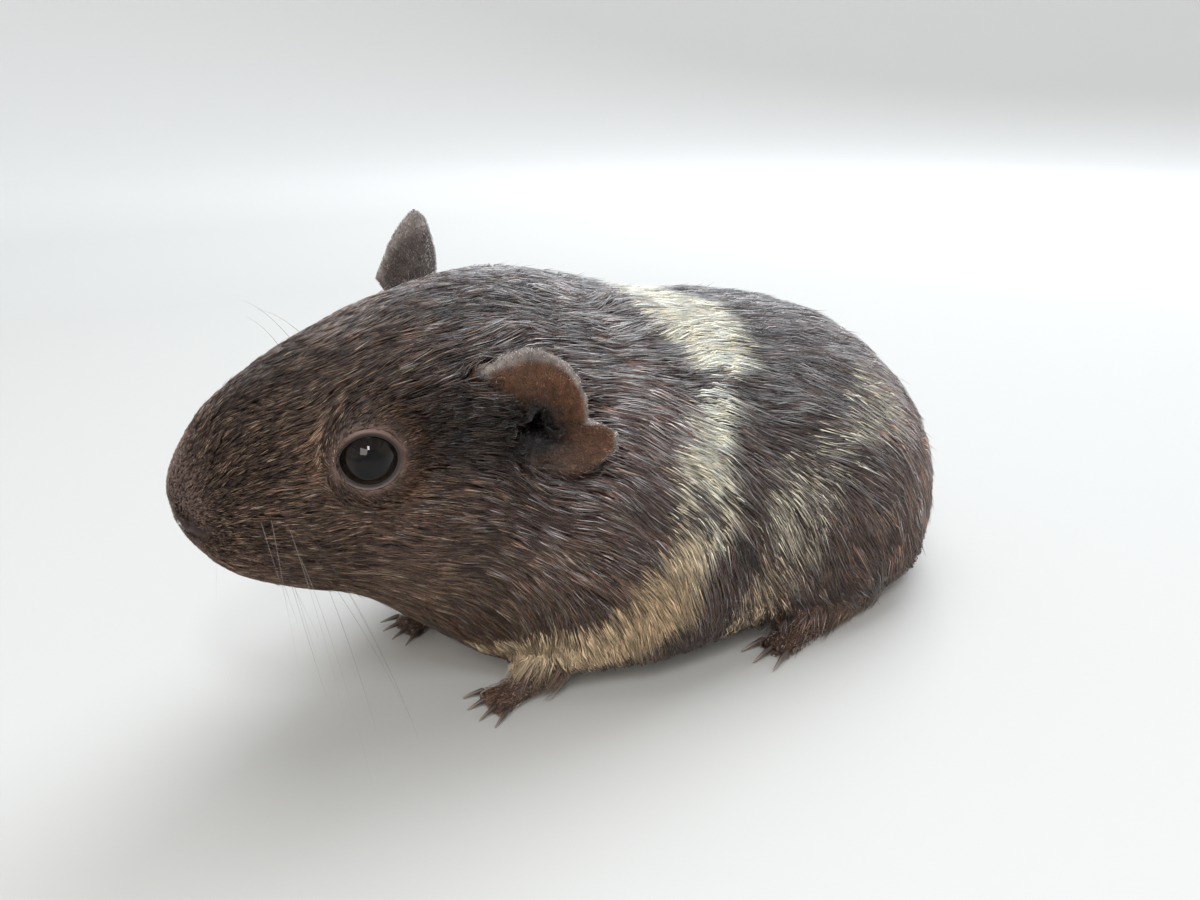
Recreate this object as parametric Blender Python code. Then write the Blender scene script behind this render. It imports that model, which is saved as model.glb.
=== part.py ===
"""Guinea pig, life size: a still museum figure that crouches with its head raised.

The animal faces -X and its left side is -Y. Sizes are millimetres, out to the tips of the
coat, and become metres when a mesh is made. The body is lofted whole from nose to rump and
then parted by thin cuts into head, neck, trunk and legs. Feet, claws, ears and eyes are
shapes of their own that keep a small gap to the flesh they sit in.
"""
import math

import bmesh
import bpy
import numpy as np
from mathutils import Matrix, Vector

# Driving sizes, millimetres
MM = 0.001
GAP = 0.3
LENGTH = 185.0
NOSE_X = -112.0
RINGS = 40
RING_POINTS = 26
SIDES = (("left", 1.0), ("right", -1.0))

# Sections of the body: distance behind the nose tip, top, bottom, half width, height of the
# widest place, and how square the upper and the lower half are (2 is an ellipse)
SECTIONS = (
    ("nose tip", 0.0, 55.5, 50.5, 2.5, 53.0, 2.0, 2.0),
    ("nostrils", 2.0, 60.5, 45.5, 7.4, 52.0, 2.1, 2.2),
    ("upper lip", 6.0, 67.0, 40.0, 10.8, 51.0, 2.1, 2.3),
    ("muzzle", 14.0, 73.0, 34.5, 14.4, 50.0, 2.1, 2.3),
    ("eyes", 27.5, 78.6, 27.5, 18.8, 51.0, 2.2, 2.1),
    ("cheeks", 42.0, 83.4, 15.0, 23.8, 45.0, 2.1, 2.5),
    ("ears", 55.0, 85.2, 5.0, 29.5, 36.0, 2.05, 3.1),
    ("nape", 68.0, 83.0, 3.0, 34.5, 27.0, 2.1, 4.2),
    ("shoulders", 86.0, 77.5, 3.0, 39.0, 23.0, 2.2, 4.6),
    ("ribs", 106.0, 74.2, 3.0, 40.8, 22.0, 2.25, 4.6),
    ("loins", 126.0, 71.8, 3.0, 41.8, 20.0, 2.25, 4.6),
    ("haunches", 146.0, 67.0, 3.0, 41.5, 19.0, 2.2, 4.6),
    ("rump", 164.0, 57.5, 3.0, 37.0, 19.0, 2.1, 4.6),
    ("seat", 177.0, 44.5, 3.5, 27.5, 19.0, 2.0, 3.8),
    ("rump end", LENGTH, 27.0, 16.0, 4.0, 21.0, 2.0, 2.0),
)

# Soft swellings and hollows, made on both sides: centre on the left, radii and height
FEATURES = (
    ("cheek", (-79.0, -20.0, 43.0), (15.0, 12.0, 13.0), 2.4),
    ("brow", (-84.0, -14.0, 67.0), (10.0, 8.0, 5.0), 1.4),
    ("eye hollow", (-89.0, -17.0, 58.0), (8.0, 8.0, 7.0), -1.0),
    ("lip", (-106.0, -9.0, 46.0), (5.0, 6.0, 4.5), 0.9),
    ("temple", (-71.0, -19.0, 61.0), (8.0, 8.0, 9.0), -1.2),
    ("behind the ear", (-47.0, -28.0, 60.0), (9.0, 9.0, 10.0), -2.0),
    ("shoulder", (-40.0, -36.0, 24.0), (16.0, 14.0, 20.0), 2.0),
    ("waist", (-12.0, -40.0, 44.0), (14.0, 14.0, 20.0), -1.4),
    ("haunch", (28.0, -42.0, 20.0), (22.0, 16.0, 22.0), 3.6),
)

# Turn of the head: pivot under the nape, the angles, and where along X the turn fades in
HEAD_PIVOT = Vector((-50.0, 0.0, 46.0))
HEAD_TURN = math.radians(2.0)
HEAD_ROLL = math.radians(13.0)
TURN_FROM = -62.0
TURN_TO = -24.0

# Thin cuts that part the body: a point in the cut and its normal, which points to the rump
HEAD_CUT = (Vector((-53.0, 0.0, 46.0)), Vector((0.97, 0.0, -0.24)).normalized())
NECK_CUT = (Vector((-38.0, 0.0, 46.0)), Vector((0.95, 0.0, -0.31)).normalized())

# Eyes: centre of the left ball before the head turns, radius, and detail
EYE_CENTRE = Vector((-85.2, -13.8, 63.0))
EYE_RADIUS = 5.4

# Ears, in millimetres from the ear canal: along the ear and up it. The rim curls inwards
# beyond EAR_CURL_FROM of the reach
EAR_CANAL = Vector((-55.9, -20.5, 64.1))
EAR_UPPER_LOBE = (-3.5, 4.0, 10.6, 10.6)
EAR_LOWER_LOBE = (6.9, -1.9, 8.0, 5.9)
EAR_FROM = math.radians(139.0)
EAR_TO = math.radians(-104.0)
EAR_ANGLES = 18
EAR_STEPS = 5
EAR_CURL = 2.4
EAR_CURL_FROM = 0.72
EAR_ROOT = 0.27
CANAL_DEPTH = 6.0
CANAL_RADIUS = 2.8
CUP_CLEAR = 14.0
EAR_SINK = 4.5
EAR_ALONG = Vector((0.84, -0.54, 0.0)).normalized()
EAR_UP = Vector((0.06, -0.10, 1.0)).normalized()
EAR_OUT = Vector((-0.52, -0.80, 0.30)).normalized()
EAR_THICK = 1.3

# How each ear is carried: how far its upper lobe is stretched upright, how far it flares out
# in millimetres, and its turn towards the line of the body in degrees
EAR_CARRIAGE = {"left": (0.16, 7.5, 0.0), "right": (0.75, 3.5, 18.0)}

# Legs on the left side: the part of the body that belongs to each, and its bones as round
# tapered bars (start, end, start radius, end radius)
SHOULDER = (Vector((-43.0, -36.0, 13.0)), Vector((15.0, 20.0, 24.0)))
FORELEG = (
    (Vector((-43.0, -23.5, 13.5)), Vector((-50.0, -20.5, 7.0)), 9.0, 5.2),
    (Vector((-50.0, -20.5, 5.6)), Vector((-57.0, -18.5, 2.4)), 4.6, 3.5),
)
FOREFOOT = Vector((-57.0, -18.5, 1.9))
FORE_TOES = (-24.0, -8.0, 8.0, 23.0)
THIGH = (Vector((24.0, -41.0, 12.0)), Vector((27.0, 24.0, 29.0)))
HINDLEG = (
    (Vector((37.0, -31.5, 13.8)), Vector((18.0, -33.5, 13.0)), 13.2, 12.2),
    (Vector((29.0, -36.0, 4.4)), Vector((4.0, -39.0, 2.7)), 5.2, 4.4),
)
HINDFOOT = Vector((4.0, -39.0, 2.2))
HIND_TOES = (-13.0, 1.0, 15.0)
FORE_TOE = (6.0, 1.65)
HIND_TOE = (8.0, 2.1)
TOE_SPREAD = 5.0
TOE_DROP = 0.5
FOOT_VOXEL = 0.8
LIMB_TRIANGLES = 220

# Claws: length beyond the toe on each foot, depth inside the toe, and shape
FORE_CLAW = 3.4
HIND_CLAW = 5.0
CLAW_ROOT = 1.2
CLAW_RISE = 0.35
CLAW_DROOP = 0.22
CLAW_RINGS = 3
CLAW_SIDES = 6


def station(distance):
    """Even parameter along the body that crowds towards both rounded ends."""
    return math.acos(1.0 - 2.0 * min(max(distance / LENGTH, 0.0), 1.0)) / math.pi


def smooth_curve(knots, values, at):
    """Piecewise cubic through the knots that never overshoots them."""
    steps = np.diff(knots)
    slopes = np.diff(values) / steps
    tangents = np.concatenate((slopes[:1], np.zeros(len(knots) - 2), slopes[-1:]))
    for i in range(1, len(knots) - 1):
        if slopes[i - 1] * slopes[i] > 0.0:
            before = 2.0 * steps[i] + steps[i - 1]
            after = steps[i] + 2.0 * steps[i - 1]
            tangents[i] = (before + after) / (before / slopes[i - 1] + after / slopes[i])
    i = int(np.clip(np.searchsorted(knots, at) - 1, 0, len(knots) - 2))
    t = (at - knots[i]) / steps[i]
    between = (2 * t**3 - 3 * t**2 + 1) * values[i] + (3 * t**2 - 2 * t**3) * values[i + 1]
    bend = (t**3 - 2 * t**2 + t) * tangents[i] + (t**3 - t**2) * tangents[i + 1]
    return between + bend * steps[i]


def ring(u):
    """Points of one cross-section, from the top round by the left side."""
    knots = np.array([station(row[1]) for row in SECTIONS])
    top, bottom, half_width, level, upper, lower = (
        smooth_curve(knots, np.array([row[k] for row in SECTIONS]), u) for k in range(2, 8)
    )
    x = NOSE_X + LENGTH * 0.5 * (1.0 - math.cos(math.pi * u))
    points = []
    for k in range(RING_POINTS):
        angle = 2.0 * math.pi * k / RING_POINTS
        side, height = math.sin(angle), math.cos(angle)
        power = 2.0 / (upper if height > 0.0 else lower)
        reach = top - level if height > 0.0 else level - bottom
        y = -half_width * math.copysign(abs(side) ** power, side)
        z = level + reach * math.copysign(abs(height) ** power, height)
        points.append(Vector((x, y, z)))
    return points


def shaped(point, middle):
    """Point moved away from its section's middle by every feature that reaches it."""
    outward = (point - middle).normalized()
    shift = 0.0
    for _, centre, radii, height in FEATURES:
        for _, side in SIDES:
            away = (
                (point.x - centre[0]) / radii[0],
                (point.y - centre[1] * side) / radii[1],
                (point.z - centre[2]) / radii[2],
            )
            shift += height * math.exp(-sum(a * a for a in away))
    return point + outward * shift


def turned(point):
    """Point carried along by the turn and the roll of the head."""
    t = min(max((TURN_TO - point.x) / (TURN_TO - TURN_FROM), 0.0), 1.0)
    share = t * t * (3.0 - 2.0 * t)
    turn = Matrix.Rotation(HEAD_TURN * share, 3, "Z")
    roll = Matrix.Rotation(HEAD_ROLL * share, 3, "X")
    return HEAD_PIVOT + turn @ roll @ (point - HEAD_PIVOT)


def body_mesh():
    """The whole body from nose to rump as one closed bmesh."""
    bm = bmesh.new()
    loops = []
    for i in range(1, RINGS):
        points = ring(i / RINGS)
        middle = sum(points, Vector()) / len(points)
        loops.append([bm.verts.new(turned(shaped(p, middle))) for p in points])
    for first, second in zip(loops, loops[1:]):
        for k in range(RING_POINTS):
            n = (k + 1) % RING_POINTS
            bm.faces.new((first[k], first[n], second[n], second[k]))
    for loop, u in ((loops[0], 0.0), (loops[-1], 1.0)):
        tip = bm.verts.new(turned(sum(ring(u), Vector()) / RING_POINTS))
        for k in range(RING_POINTS):
            bm.faces.new((loop[k], loop[(k + 1) % RING_POINTS], tip))
    bmesh.ops.recalc_face_normals(bm, faces=bm.faces)
    return bm


def grown(bm, amount):
    """Every vertex moved out along its normal."""
    bm.normal_update()
    for vert in bm.verts:
        vert.co += vert.normal * amount
    return bm


def without(bm, point, normal):
    """The closed mesh cut by a plane, with what lies beyond the plane taken away."""
    geometry = list(bm.verts) + list(bm.edges) + list(bm.faces)
    cut = bmesh.ops.bisect_plane(
        bm, geom=geometry, plane_co=point, plane_no=normal, dist=1e-5, clear_outer=True
    )
    edges = [item for item in cut["geom_cut"] if isinstance(item, bmesh.types.BMEdge)]
    bmesh.ops.holes_fill(bm, edges=edges, sides=0)
    bmesh.ops.recalc_face_normals(bm, faces=bm.faces)
    return bm


def ball(centre, radii, segments=20, rings=14):
    """Ellipsoid as a bmesh."""
    bm = bmesh.new()
    place = Matrix.Translation(centre) @ Matrix.Diagonal((*radii, 1.0))
    bmesh.ops.create_uvsphere(bm, u_segments=segments, v_segments=rings, radius=1.0, matrix=place)
    return bm


def between(start, end):
    """Place of a round bar or cutter that runs from one point to the other."""
    lean = (end - start).to_track_quat("Z", "Y").to_matrix().to_4x4()
    return Matrix.Translation((start + end) / 2) @ lean


def bar(start, end, start_radius, end_radius, segments=14):
    """Round tapered bar with ball ends, as separate closed shells in one bmesh."""
    bm = bmesh.new()
    bmesh.ops.create_cone(
        bm, cap_ends=True, segments=segments, radius1=start_radius, radius2=end_radius,
        depth=(end - start).length, matrix=between(start, end),
    )
    for centre, radius in ((start, start_radius), (end, end_radius)):
        bmesh.ops.create_uvsphere(
            bm, u_segments=segments, v_segments=10, radius=radius,
            matrix=Matrix.Translation(centre),
        )
    return bm


def material(name, colour, roughness):
    made = bpy.data.materials.new(name)
    made.use_nodes = True
    shader = made.node_tree.nodes["Principled BSDF"]
    shader.inputs["Base Color"].default_value = (*colour, 1.0)
    shader.inputs["Roughness"].default_value = roughness
    shader.inputs["Metallic"].default_value = 0.0
    return made


def add(name, bm, look=None):
    """Object of a bmesh in millimetres. A helper has no look and leaves the model."""
    bmesh.ops.transform(bm, matrix=Matrix.Scale(MM, 4), verts=bm.verts)
    mesh = bpy.data.meshes.new(name)
    bm.to_mesh(mesh)
    bm.free()
    made = bpy.data.objects.new(name, mesh)
    if look:
        mesh.materials.append(look)
    else:
        made.hide_render = True
        made.display_type = "WIRE"
    bpy.context.collection.objects.link(made)
    return made


def settled(made):
    """The object with its modifiers made part of its mesh."""
    graph = bpy.context.evaluated_depsgraph_get()
    mesh = bpy.data.meshes.new_from_object(made.evaluated_get(graph))
    old = made.data
    made.modifiers.clear()
    made.data = mesh
    bpy.data.meshes.remove(old)
    return made


def combined(made, operation, *others, solver="EXACT"):
    """Object after a Boolean with each of the others in turn."""
    for other in others:
        step = made.modifiers.new(operation.lower(), "BOOLEAN")
        step.operation = operation
        step.solver = solver
        step.object = other
        settled(made)
    return made


def connected(bm):
    """Groups of faces that hang together, the largest first.

    An edge that more than two faces share is a mere touch, and joins nothing.
    """
    groups = []
    left = set(bm.faces)
    while left:
        group, border = set(), {left.pop()}
        while border:
            group |= border
            whole = (e for face in border for e in face.edges if len(e.link_faces) == 2)
            border = {face for e in whole for face in e.link_faces} - group
        left -= group
        groups.append(group)
    return sorted(groups, key=len, reverse=True)


def cleaned(made):
    """The object without the crumbs and flat fragments that cuts leave."""
    bm = bmesh.new()
    bm.from_mesh(made.data)
    for crumb in connected(bm)[1:]:
        bmesh.ops.delete(bm, geom=list(crumb), context="FACES")
    bmesh.ops.dissolve_limit(
        bm, angle_limit=math.radians(1.0), verts=bm.verts, edges=bm.edges
    )
    bmesh.ops.triangulate(bm, faces=bm.faces)
    bm.to_mesh(made.data)
    bm.free()


def drop(*helpers):
    for helper in helpers:
        mesh = helper.data
        bpy.data.objects.remove(helper, do_unlink=True)
        bpy.data.meshes.remove(mesh)


def mirrored(bm, side):
    """The bmesh as it is for the left, or mirrored to the right."""
    if side < 0.0:
        bmesh.ops.transform(bm, matrix=Matrix.Diagonal((1.0, -1.0, 1.0, 1.0)), verts=bm.verts)
        bmesh.ops.reverse_faces(bm, faces=bm.faces)
    return bm


def toes_of(foot, angles, shape):
    """Toes of a left foot: root, tip and radius for each, the middle ones the longest."""
    length, radius = shape
    toes = []
    for i, degrees in enumerate(angles):
        angle = math.radians(degrees)
        middle = 1.0 - abs(i - (len(angles) - 1) / 2) / len(angles)
        reach = length * (0.82 + 0.3 * middle)
        root = foot - Vector((0.0, math.sin(angle) * TOE_SPREAD, 0.0))
        away = Vector((-math.cos(angle) * reach, -math.sin(angle) * reach, -TOE_DROP))
        toes.append((root, root + away, radius))
    return toes


def claw_mesh(toe, length, grow):
    """Curved, pointed claw that starts inside the end of a toe."""
    root, tip, radius = toe
    up = Vector((0.0, 0.0, 1.0))
    heading = (tip - root).normalized()
    across = heading.cross(up).normalized()
    bm = bmesh.new()
    loops = []
    for i in range(CLAW_RINGS):
        t = i / (CLAW_RINGS - 1)
        reach = radius * 0.6 + length * t - (CLAW_ROOT + grow) * (1.0 - t)
        centre = tip + heading * reach + up * (CLAW_RISE - CLAW_DROOP * length * t * t)
        thick = radius * 0.5 * (1.0 - 0.8 * t) + grow
        loop = []
        for k in range(CLAW_SIDES):
            angle = 2.0 * math.pi * k / CLAW_SIDES
            wide = across * thick * 0.8 * math.cos(angle)
            loop.append(bm.verts.new(centre + wide + up * thick * math.sin(angle)))
        loops.append(loop)
    for first, second in zip(loops, loops[1:]):
        for k in range(CLAW_SIDES):
            n = (k + 1) % CLAW_SIDES
            bm.faces.new((first[k], first[n], second[n], second[k]))
    bm.faces.new(loops[0])
    bm.faces.new(loops[-1])
    bmesh.ops.recalc_face_normals(bm, faces=bm.faces)
    return bm


def joined(name, parts):
    """One closed object round several overlapping closed shells."""
    whole = bmesh.new()
    for part in parts:
        mesh = bpy.data.meshes.new("part")
        part.to_mesh(mesh)
        part.free()
        whole.from_mesh(mesh)
        bpy.data.meshes.remove(mesh)
    made = add(name, whole)
    remesh = made.modifiers.new("join", "REMESH")
    remesh.mode = "VOXEL"
    remesh.voxel_size = FOOT_VOXEL * MM
    soften = made.modifiers.new("soften", "SMOOTH")
    soften.factor = 0.5
    soften.iterations = 2
    settled(made)
    fewer = made.modifiers.new("fewer", "DECIMATE")
    fewer.ratio = LIMB_TRIANGLES / (2 * len(made.data.polygons))
    return settled(made)


def limb(name, side, bones, toes):
    """Lower leg and foot, with its underside cut flat on the floor."""
    parts = [bar(*bone) for bone in bones]
    parts += [bar(root, tip, radius * 1.15, radius, 10) for root, tip, radius in toes]
    made = joined(name, parts)
    bm = bmesh.new()
    bm.from_mesh(made.data)
    bmesh.ops.transform(bm, matrix=Matrix.Scale(1.0 / MM, 4), verts=bm.verts)
    drop(made)
    without(bm, Vector((0.0, 0.0, 0.0)), Vector((0.0, 0.0, -1.0)))
    return mirrored(bm, side)


def copy_grown(bm, amount):
    """A copy of the bmesh, grown by the amount."""
    return grown(bm.copy(), amount)


def region(shape, side, grow):
    """Ellipsoid that marks the part of the body that belongs to a leg."""
    centre, radii = shape
    return mirrored(ball(centre, radii + Vector((grow, grow, grow)), 18, 10), side)


def lobe_reach(lobe, angle):
    """Distance from the canal to an elliptical lobe's edge, seen from inside it."""
    cx, cy, rx, ry = lobe
    px, py = -cx / rx, -cy / ry
    dx, dy = math.cos(angle) / rx, math.sin(angle) / ry
    a, b, c = dx * dx + dy * dy, px * dx + py * dy, px * px + py * py - 1.0
    return (-b + math.sqrt(b * b - a * c)) / a


def leaf_turn(turn):
    return Matrix.Rotation(math.radians(turn), 3, "Z")


def ear_point(angle, part, stretch, flare, turn):
    """Point of the left ear's middle surface: angle round the canal and share of the reach.

    The upper lobe is stretched upwards, flares out of the head like an awning, and curls
    down at its rim. The whole leaf turns about the canal.
    """
    reach = part * max(lobe_reach(EAR_UPPER_LOBE, angle), lobe_reach(EAR_LOWER_LOBE, angle))
    top = max(math.sin(angle), 0.0)
    arch = math.sin(math.pi * (EAR_FROM - angle) / (EAR_FROM - EAR_TO)) ** 2
    out = (1.2 + flare * arch * (0.25 + 0.75 * top)) * part**2 - EAR_SINK * (1.0 - part) ** 2
    height = reach * math.sin(angle) * (1.0 + stretch * top * top)
    curl = max(part - EAR_CURL_FROM, 0.0) / (1.0 - EAR_CURL_FROM)
    height -= EAR_CURL * curl * curl * arch * top
    leaf = EAR_ALONG * reach * math.cos(angle) + EAR_UP * height + EAR_OUT * out
    return EAR_CANAL + leaf_turn(turn) @ leaf


def widened(grid, by):
    """Grid of points with its border moved outwards."""
    wide = [list(row) for row in grid]
    for j in range(len(grid[0])):
        wide[0][j] = wide[0][j] + (grid[0][j] - grid[1][j]).normalized() * by
        wide[-1][j] = wide[-1][j] + (grid[-1][j] - grid[-2][j]).normalized() * by
    for row, line in zip(grid, wide):
        line[0] = line[0] + (row[0] - row[1]).normalized() * by
        line[-1] = line[-1] + (row[-1] - row[-2]).normalized() * by
    return wide


def ear_mesh(side, carriage, grow=0.0, reach_out=0.0):
    """Thin cupped leaf of two lobes with a notch between them, round the ear canal.

    With reach_out its front is pushed that far out of the cup, which makes the cutter that
    opens the head and the neck in front of the ear.
    """
    angles = [EAR_FROM + (EAR_TO - EAR_FROM) * k / EAR_ANGLES for k in range(EAR_ANGLES + 1)]
    parts = [EAR_ROOT + (1.0 - EAR_ROOT) * (j / EAR_STEPS) ** 0.8 for j in range(EAR_STEPS + 1)]
    middle = widened([[ear_point(a, p, *carriage) for p in parts] for a in angles], 1.5 * grow)
    out = leaf_turn(carriage[-1]) @ EAR_OUT

    def normal(k, j):
        across = middle[min(k + 1, EAR_ANGLES)][j] - middle[max(k - 1, 0)][j]
        along = middle[k][min(j + 1, EAR_STEPS)] - middle[k][max(j - 1, 0)]
        return across.cross(along).normalized()

    def sheet(bm, face, push):
        half = [EAR_THICK * 0.5 * (1.0 - 0.35 * p) + grow for p in parts]
        return [
            [bm.verts.new(middle[k][j] + normal(k, j) * half[j] * face + out * push)
             for j in range(EAR_STEPS + 1)]
            for k in range(EAR_ANGLES + 1)
        ]

    bm = bmesh.new()
    front, back = sheet(bm, 1.0, reach_out), sheet(bm, -1.0, 0.0)
    for k in range(EAR_ANGLES):
        for j in range(EAR_STEPS):
            for face in (front, back):
                bm.faces.new((face[k][j], face[k][j + 1], face[k + 1][j + 1], face[k + 1][j]))
    border = [(k, 0) for k in range(EAR_ANGLES)]
    border += [(EAR_ANGLES, j) for j in range(EAR_STEPS)]
    border += [(k, EAR_STEPS) for k in range(EAR_ANGLES, 0, -1)]
    border += [(0, j) for j in range(EAR_STEPS, 0, -1)]
    for (k, j), (m, n) in zip(border, border[1:] + border[:1]):
        bm.faces.new((front[k][j], front[m][n], back[m][n], back[k][j]))
    bmesh.ops.recalc_face_normals(bm, faces=bm.faces)
    return mirrored(bm, side)


def canal_mesh(side, turn):
    """Cutter of the ear canal, from outside the head inwards, square to the leaf."""
    out = leaf_turn(turn) @ EAR_OUT
    start = EAR_CANAL - out * CANAL_DEPTH
    end = EAR_CANAL + out * CUP_CLEAR
    bm = bmesh.new()
    bmesh.ops.create_cone(
        bm, cap_ends=True, segments=12, radius1=CANAL_RADIUS * 0.7, radius2=CANAL_RADIUS,
        depth=(end - start).length, matrix=between(start, end),
    )
    return mirrored(bm, side)


def carried(bm):
    """The bmesh carried along by the head's whole turn and roll."""
    spin = Matrix.Rotation(HEAD_TURN, 3, "Z") @ Matrix.Rotation(HEAD_ROLL, 3, "X")
    for vert in bm.verts:
        vert.co = HEAD_PIVOT + spin @ (vert.co - HEAD_PIVOT)
    return bm


def centred(objects):
    """The pieces moved so that the middle of their footprint is the origin."""
    places = [vert.co for made in objects for vert in made.data.vertices]
    low = Vector([min(place[k] for place in places) for k in range(3)])
    high = Vector([max(place[k] for place in places) for k in range(3)])
    shift = Vector((-(low.x + high.x) / 2, -(low.y + high.y) / 2, -low.z))
    for made in objects:
        made.data.transform(Matrix.Translation(shift))


def main():
    for old in list(bpy.data.objects):
        bpy.data.objects.remove(old, do_unlink=True)
    coat = material("coat", (0.055, 0.035, 0.025), 0.8)
    ear_skin = material("ear skin", (0.11, 0.06, 0.035), 0.6)
    eye_black = material("eye", (0.01, 0.008, 0.008), 0.08)
    horn = material("claw", (0.10, 0.075, 0.06), 0.4)

    half_gap = GAP / 2
    head = body_mesh()
    without(head, HEAD_CUT[0] - HEAD_CUT[1] * half_gap, HEAD_CUT[1])
    neck = body_mesh()
    without(neck, HEAD_CUT[0] + HEAD_CUT[1] * half_gap, -HEAD_CUT[1])
    without(neck, NECK_CUT[0] - NECK_CUT[1] * half_gap, NECK_CUT[1])
    trunk = body_mesh()
    without(trunk, NECK_CUT[0] + NECK_CUT[1] * half_gap, -NECK_CUT[1])
    head = add("head", head, coat)
    neck = add("neck", neck, coat)
    trunk = add("trunk", trunk, coat)

    legs = (
        ("foreleg", SHOULDER, FORELEG, toes_of(FOREFOOT, FORE_TOES, FORE_TOE), FORE_CLAW),
        ("hindleg", THIGH, HINDLEG, toes_of(HINDFOOT, HIND_TOES, HIND_TOE), HIND_CLAW),
    )
    for side_name, side in SIDES:
        for leg_name, shape, bones, toes, claw_length in legs:
            foot = limb("limb", side, bones, toes)
            socket = add("socket", copy_grown(foot, GAP))
            hollow = add("hollow", region(shape, side, GAP))
            for flesh in (head, neck, trunk):
                combined(flesh, "DIFFERENCE", hollow, socket, solver="MANIFOLD")
            leg = add(f"{leg_name}_{side_name}", region(shape, side, 0.0), coat)
            whole = add("whole", body_mesh())
            lower = add("lower", foot)
            combined(leg, "INTERSECT", whole)
            combined(leg, "UNION", lower)
            for number, toe in enumerate(toes, 1):
                pocket = add("pocket", mirrored(claw_mesh(toe, claw_length, GAP), side))
                combined(leg, "DIFFERENCE", pocket)
                drop(pocket)
                name = f"claw_{leg_name[:4]}_{side_name}_{number}"
                add(name, mirrored(claw_mesh(toe, claw_length, 0.0), side), horn)
            drop(socket, hollow, whole, lower)

        eye = carried(mirrored(ball(EYE_CENTRE, (EYE_RADIUS,) * 3, 14, 9), side))
        socket = add("socket", copy_grown(eye, GAP))
        combined(head, "DIFFERENCE", socket, solver="MANIFOLD")
        drop(socket)
        add(f"eye_{side_name}", eye, eye_black)

        carriage = EAR_CARRIAGE[side_name]
        slot = add("slot", carried(ear_mesh(side, carriage, GAP)))
        cup = add("cup", carried(ear_mesh(side, carriage, half_gap, CUP_CLEAR)))
        canal = add("canal", carried(canal_mesh(side, carriage[-1])))
        combined(head, "DIFFERENCE", slot, cup, canal, solver="MANIFOLD")
        combined(neck, "DIFFERENCE", slot, cup, canal, solver="MANIFOLD")
        drop(slot, cup, canal)
        add(f"ear_{side_name}", carried(ear_mesh(side, carriage)), ear_skin)

    centred(bpy.data.objects)
    for made in bpy.data.objects:
        cleaned(made)
        made.data.shade_smooth()
        made.data.set_sharp_from_angle(angle=math.radians(40.0))


main()
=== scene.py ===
"""Guinea pig, life size: skin, coat, eyes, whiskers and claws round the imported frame.

The animal faces -X, its left side is -Y and the floor is z = 0. Lengths are metres, and MM
turns millimetres into metres. One skin stands for all the flesh. It lies inside the solids
by the depth of the coat, and thousands of thin closed tufts lie over it, out to the solids'
own outline. Skin and tufts take their colours from the same functions of place.
"""
import math

import bmesh
import bpy
import numpy as np
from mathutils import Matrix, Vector
from mathutils.bvhtree import BVHTree
from mathutils.kdtree import KDTree


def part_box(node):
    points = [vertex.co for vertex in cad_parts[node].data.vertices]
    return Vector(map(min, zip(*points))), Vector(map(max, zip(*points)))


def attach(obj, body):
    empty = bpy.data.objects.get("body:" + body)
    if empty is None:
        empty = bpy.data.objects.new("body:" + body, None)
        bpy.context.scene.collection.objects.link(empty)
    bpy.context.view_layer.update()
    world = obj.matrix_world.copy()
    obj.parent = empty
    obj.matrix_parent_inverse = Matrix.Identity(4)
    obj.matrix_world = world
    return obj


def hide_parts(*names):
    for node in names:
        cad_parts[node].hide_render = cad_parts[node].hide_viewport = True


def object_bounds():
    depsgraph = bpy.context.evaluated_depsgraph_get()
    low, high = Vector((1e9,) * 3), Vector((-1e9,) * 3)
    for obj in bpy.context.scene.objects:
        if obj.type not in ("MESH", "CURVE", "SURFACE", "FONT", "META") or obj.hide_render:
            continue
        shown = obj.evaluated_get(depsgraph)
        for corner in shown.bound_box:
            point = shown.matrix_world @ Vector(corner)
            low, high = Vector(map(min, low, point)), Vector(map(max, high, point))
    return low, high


MM = 0.001
SIDES = (("left", -1.0), ("right", 1.0))

# Camera: ahead of the animal on its left, a little above it and looking down
CAMERA_PLACE = (-0.1271, -0.1597, 0.1170)
CAMERA_DOWN = math.radians(20.85)
CAMERA_TURN = math.radians(-38.0)
CAMERA_LENS = 29.25

# Floor, in metres: radius of its flat part, radius of the curve up, height of the rim, and
# the distances from the middle between which its colour goes from near to far. The far floor
# and wall are painted paler, painted light that makes up for the lamps' light falling off.
FLOOR_FLAT, FLOOR_CURVE, FLOOR_RIM = 1.3, 1.2, 1.7
FLOOR_PALER = (0.4, 1.5)
FLOOR_NEAR, FLOOR_FAR = (0.52, 0.505, 0.48), (0.88, 0.86, 0.83)

# Light: colour and strength of the sky, place, radius, watts and colour of the lamp overhead,
# and for each panel of light its place, size, watts and colour
SKY_COLOUR, SKY_STRENGTH = (0.86, 0.92, 1.0, 1.0), 0.42
OVERHEAD = ((0.10, 0.20, 1.45), 0.6, 42.0, (0.93, 0.97, 1.0))
PANELS = (
    ("sky", (0.85, 0.30, 0.95), (0.9, 0.7), 16.5, (0.84, 0.92, 1.0)),
    ("key", (-0.60, -0.55, 0.60), (0.45, 0.40), 4.2, (1.0, 0.95, 0.89)),
    ("window", (-0.17, -0.30, 0.42), (0.06, 0.10), 0.70, (0.85, 0.93, 1.0)),
)
PANELS_FACE = (0.0, 0.0, 0.04)

# Skin: voxel of its remesh, how far the solids swell so that their gaps close, and the
# triangles it may have, with those left for the lids
SKIN_VOXEL = 0.55 * MM
SKIN_CLOSE = 0.2 * MM
SKIN_TRIANGLES = 190000
LID_TRIANGLES = 12000

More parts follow.
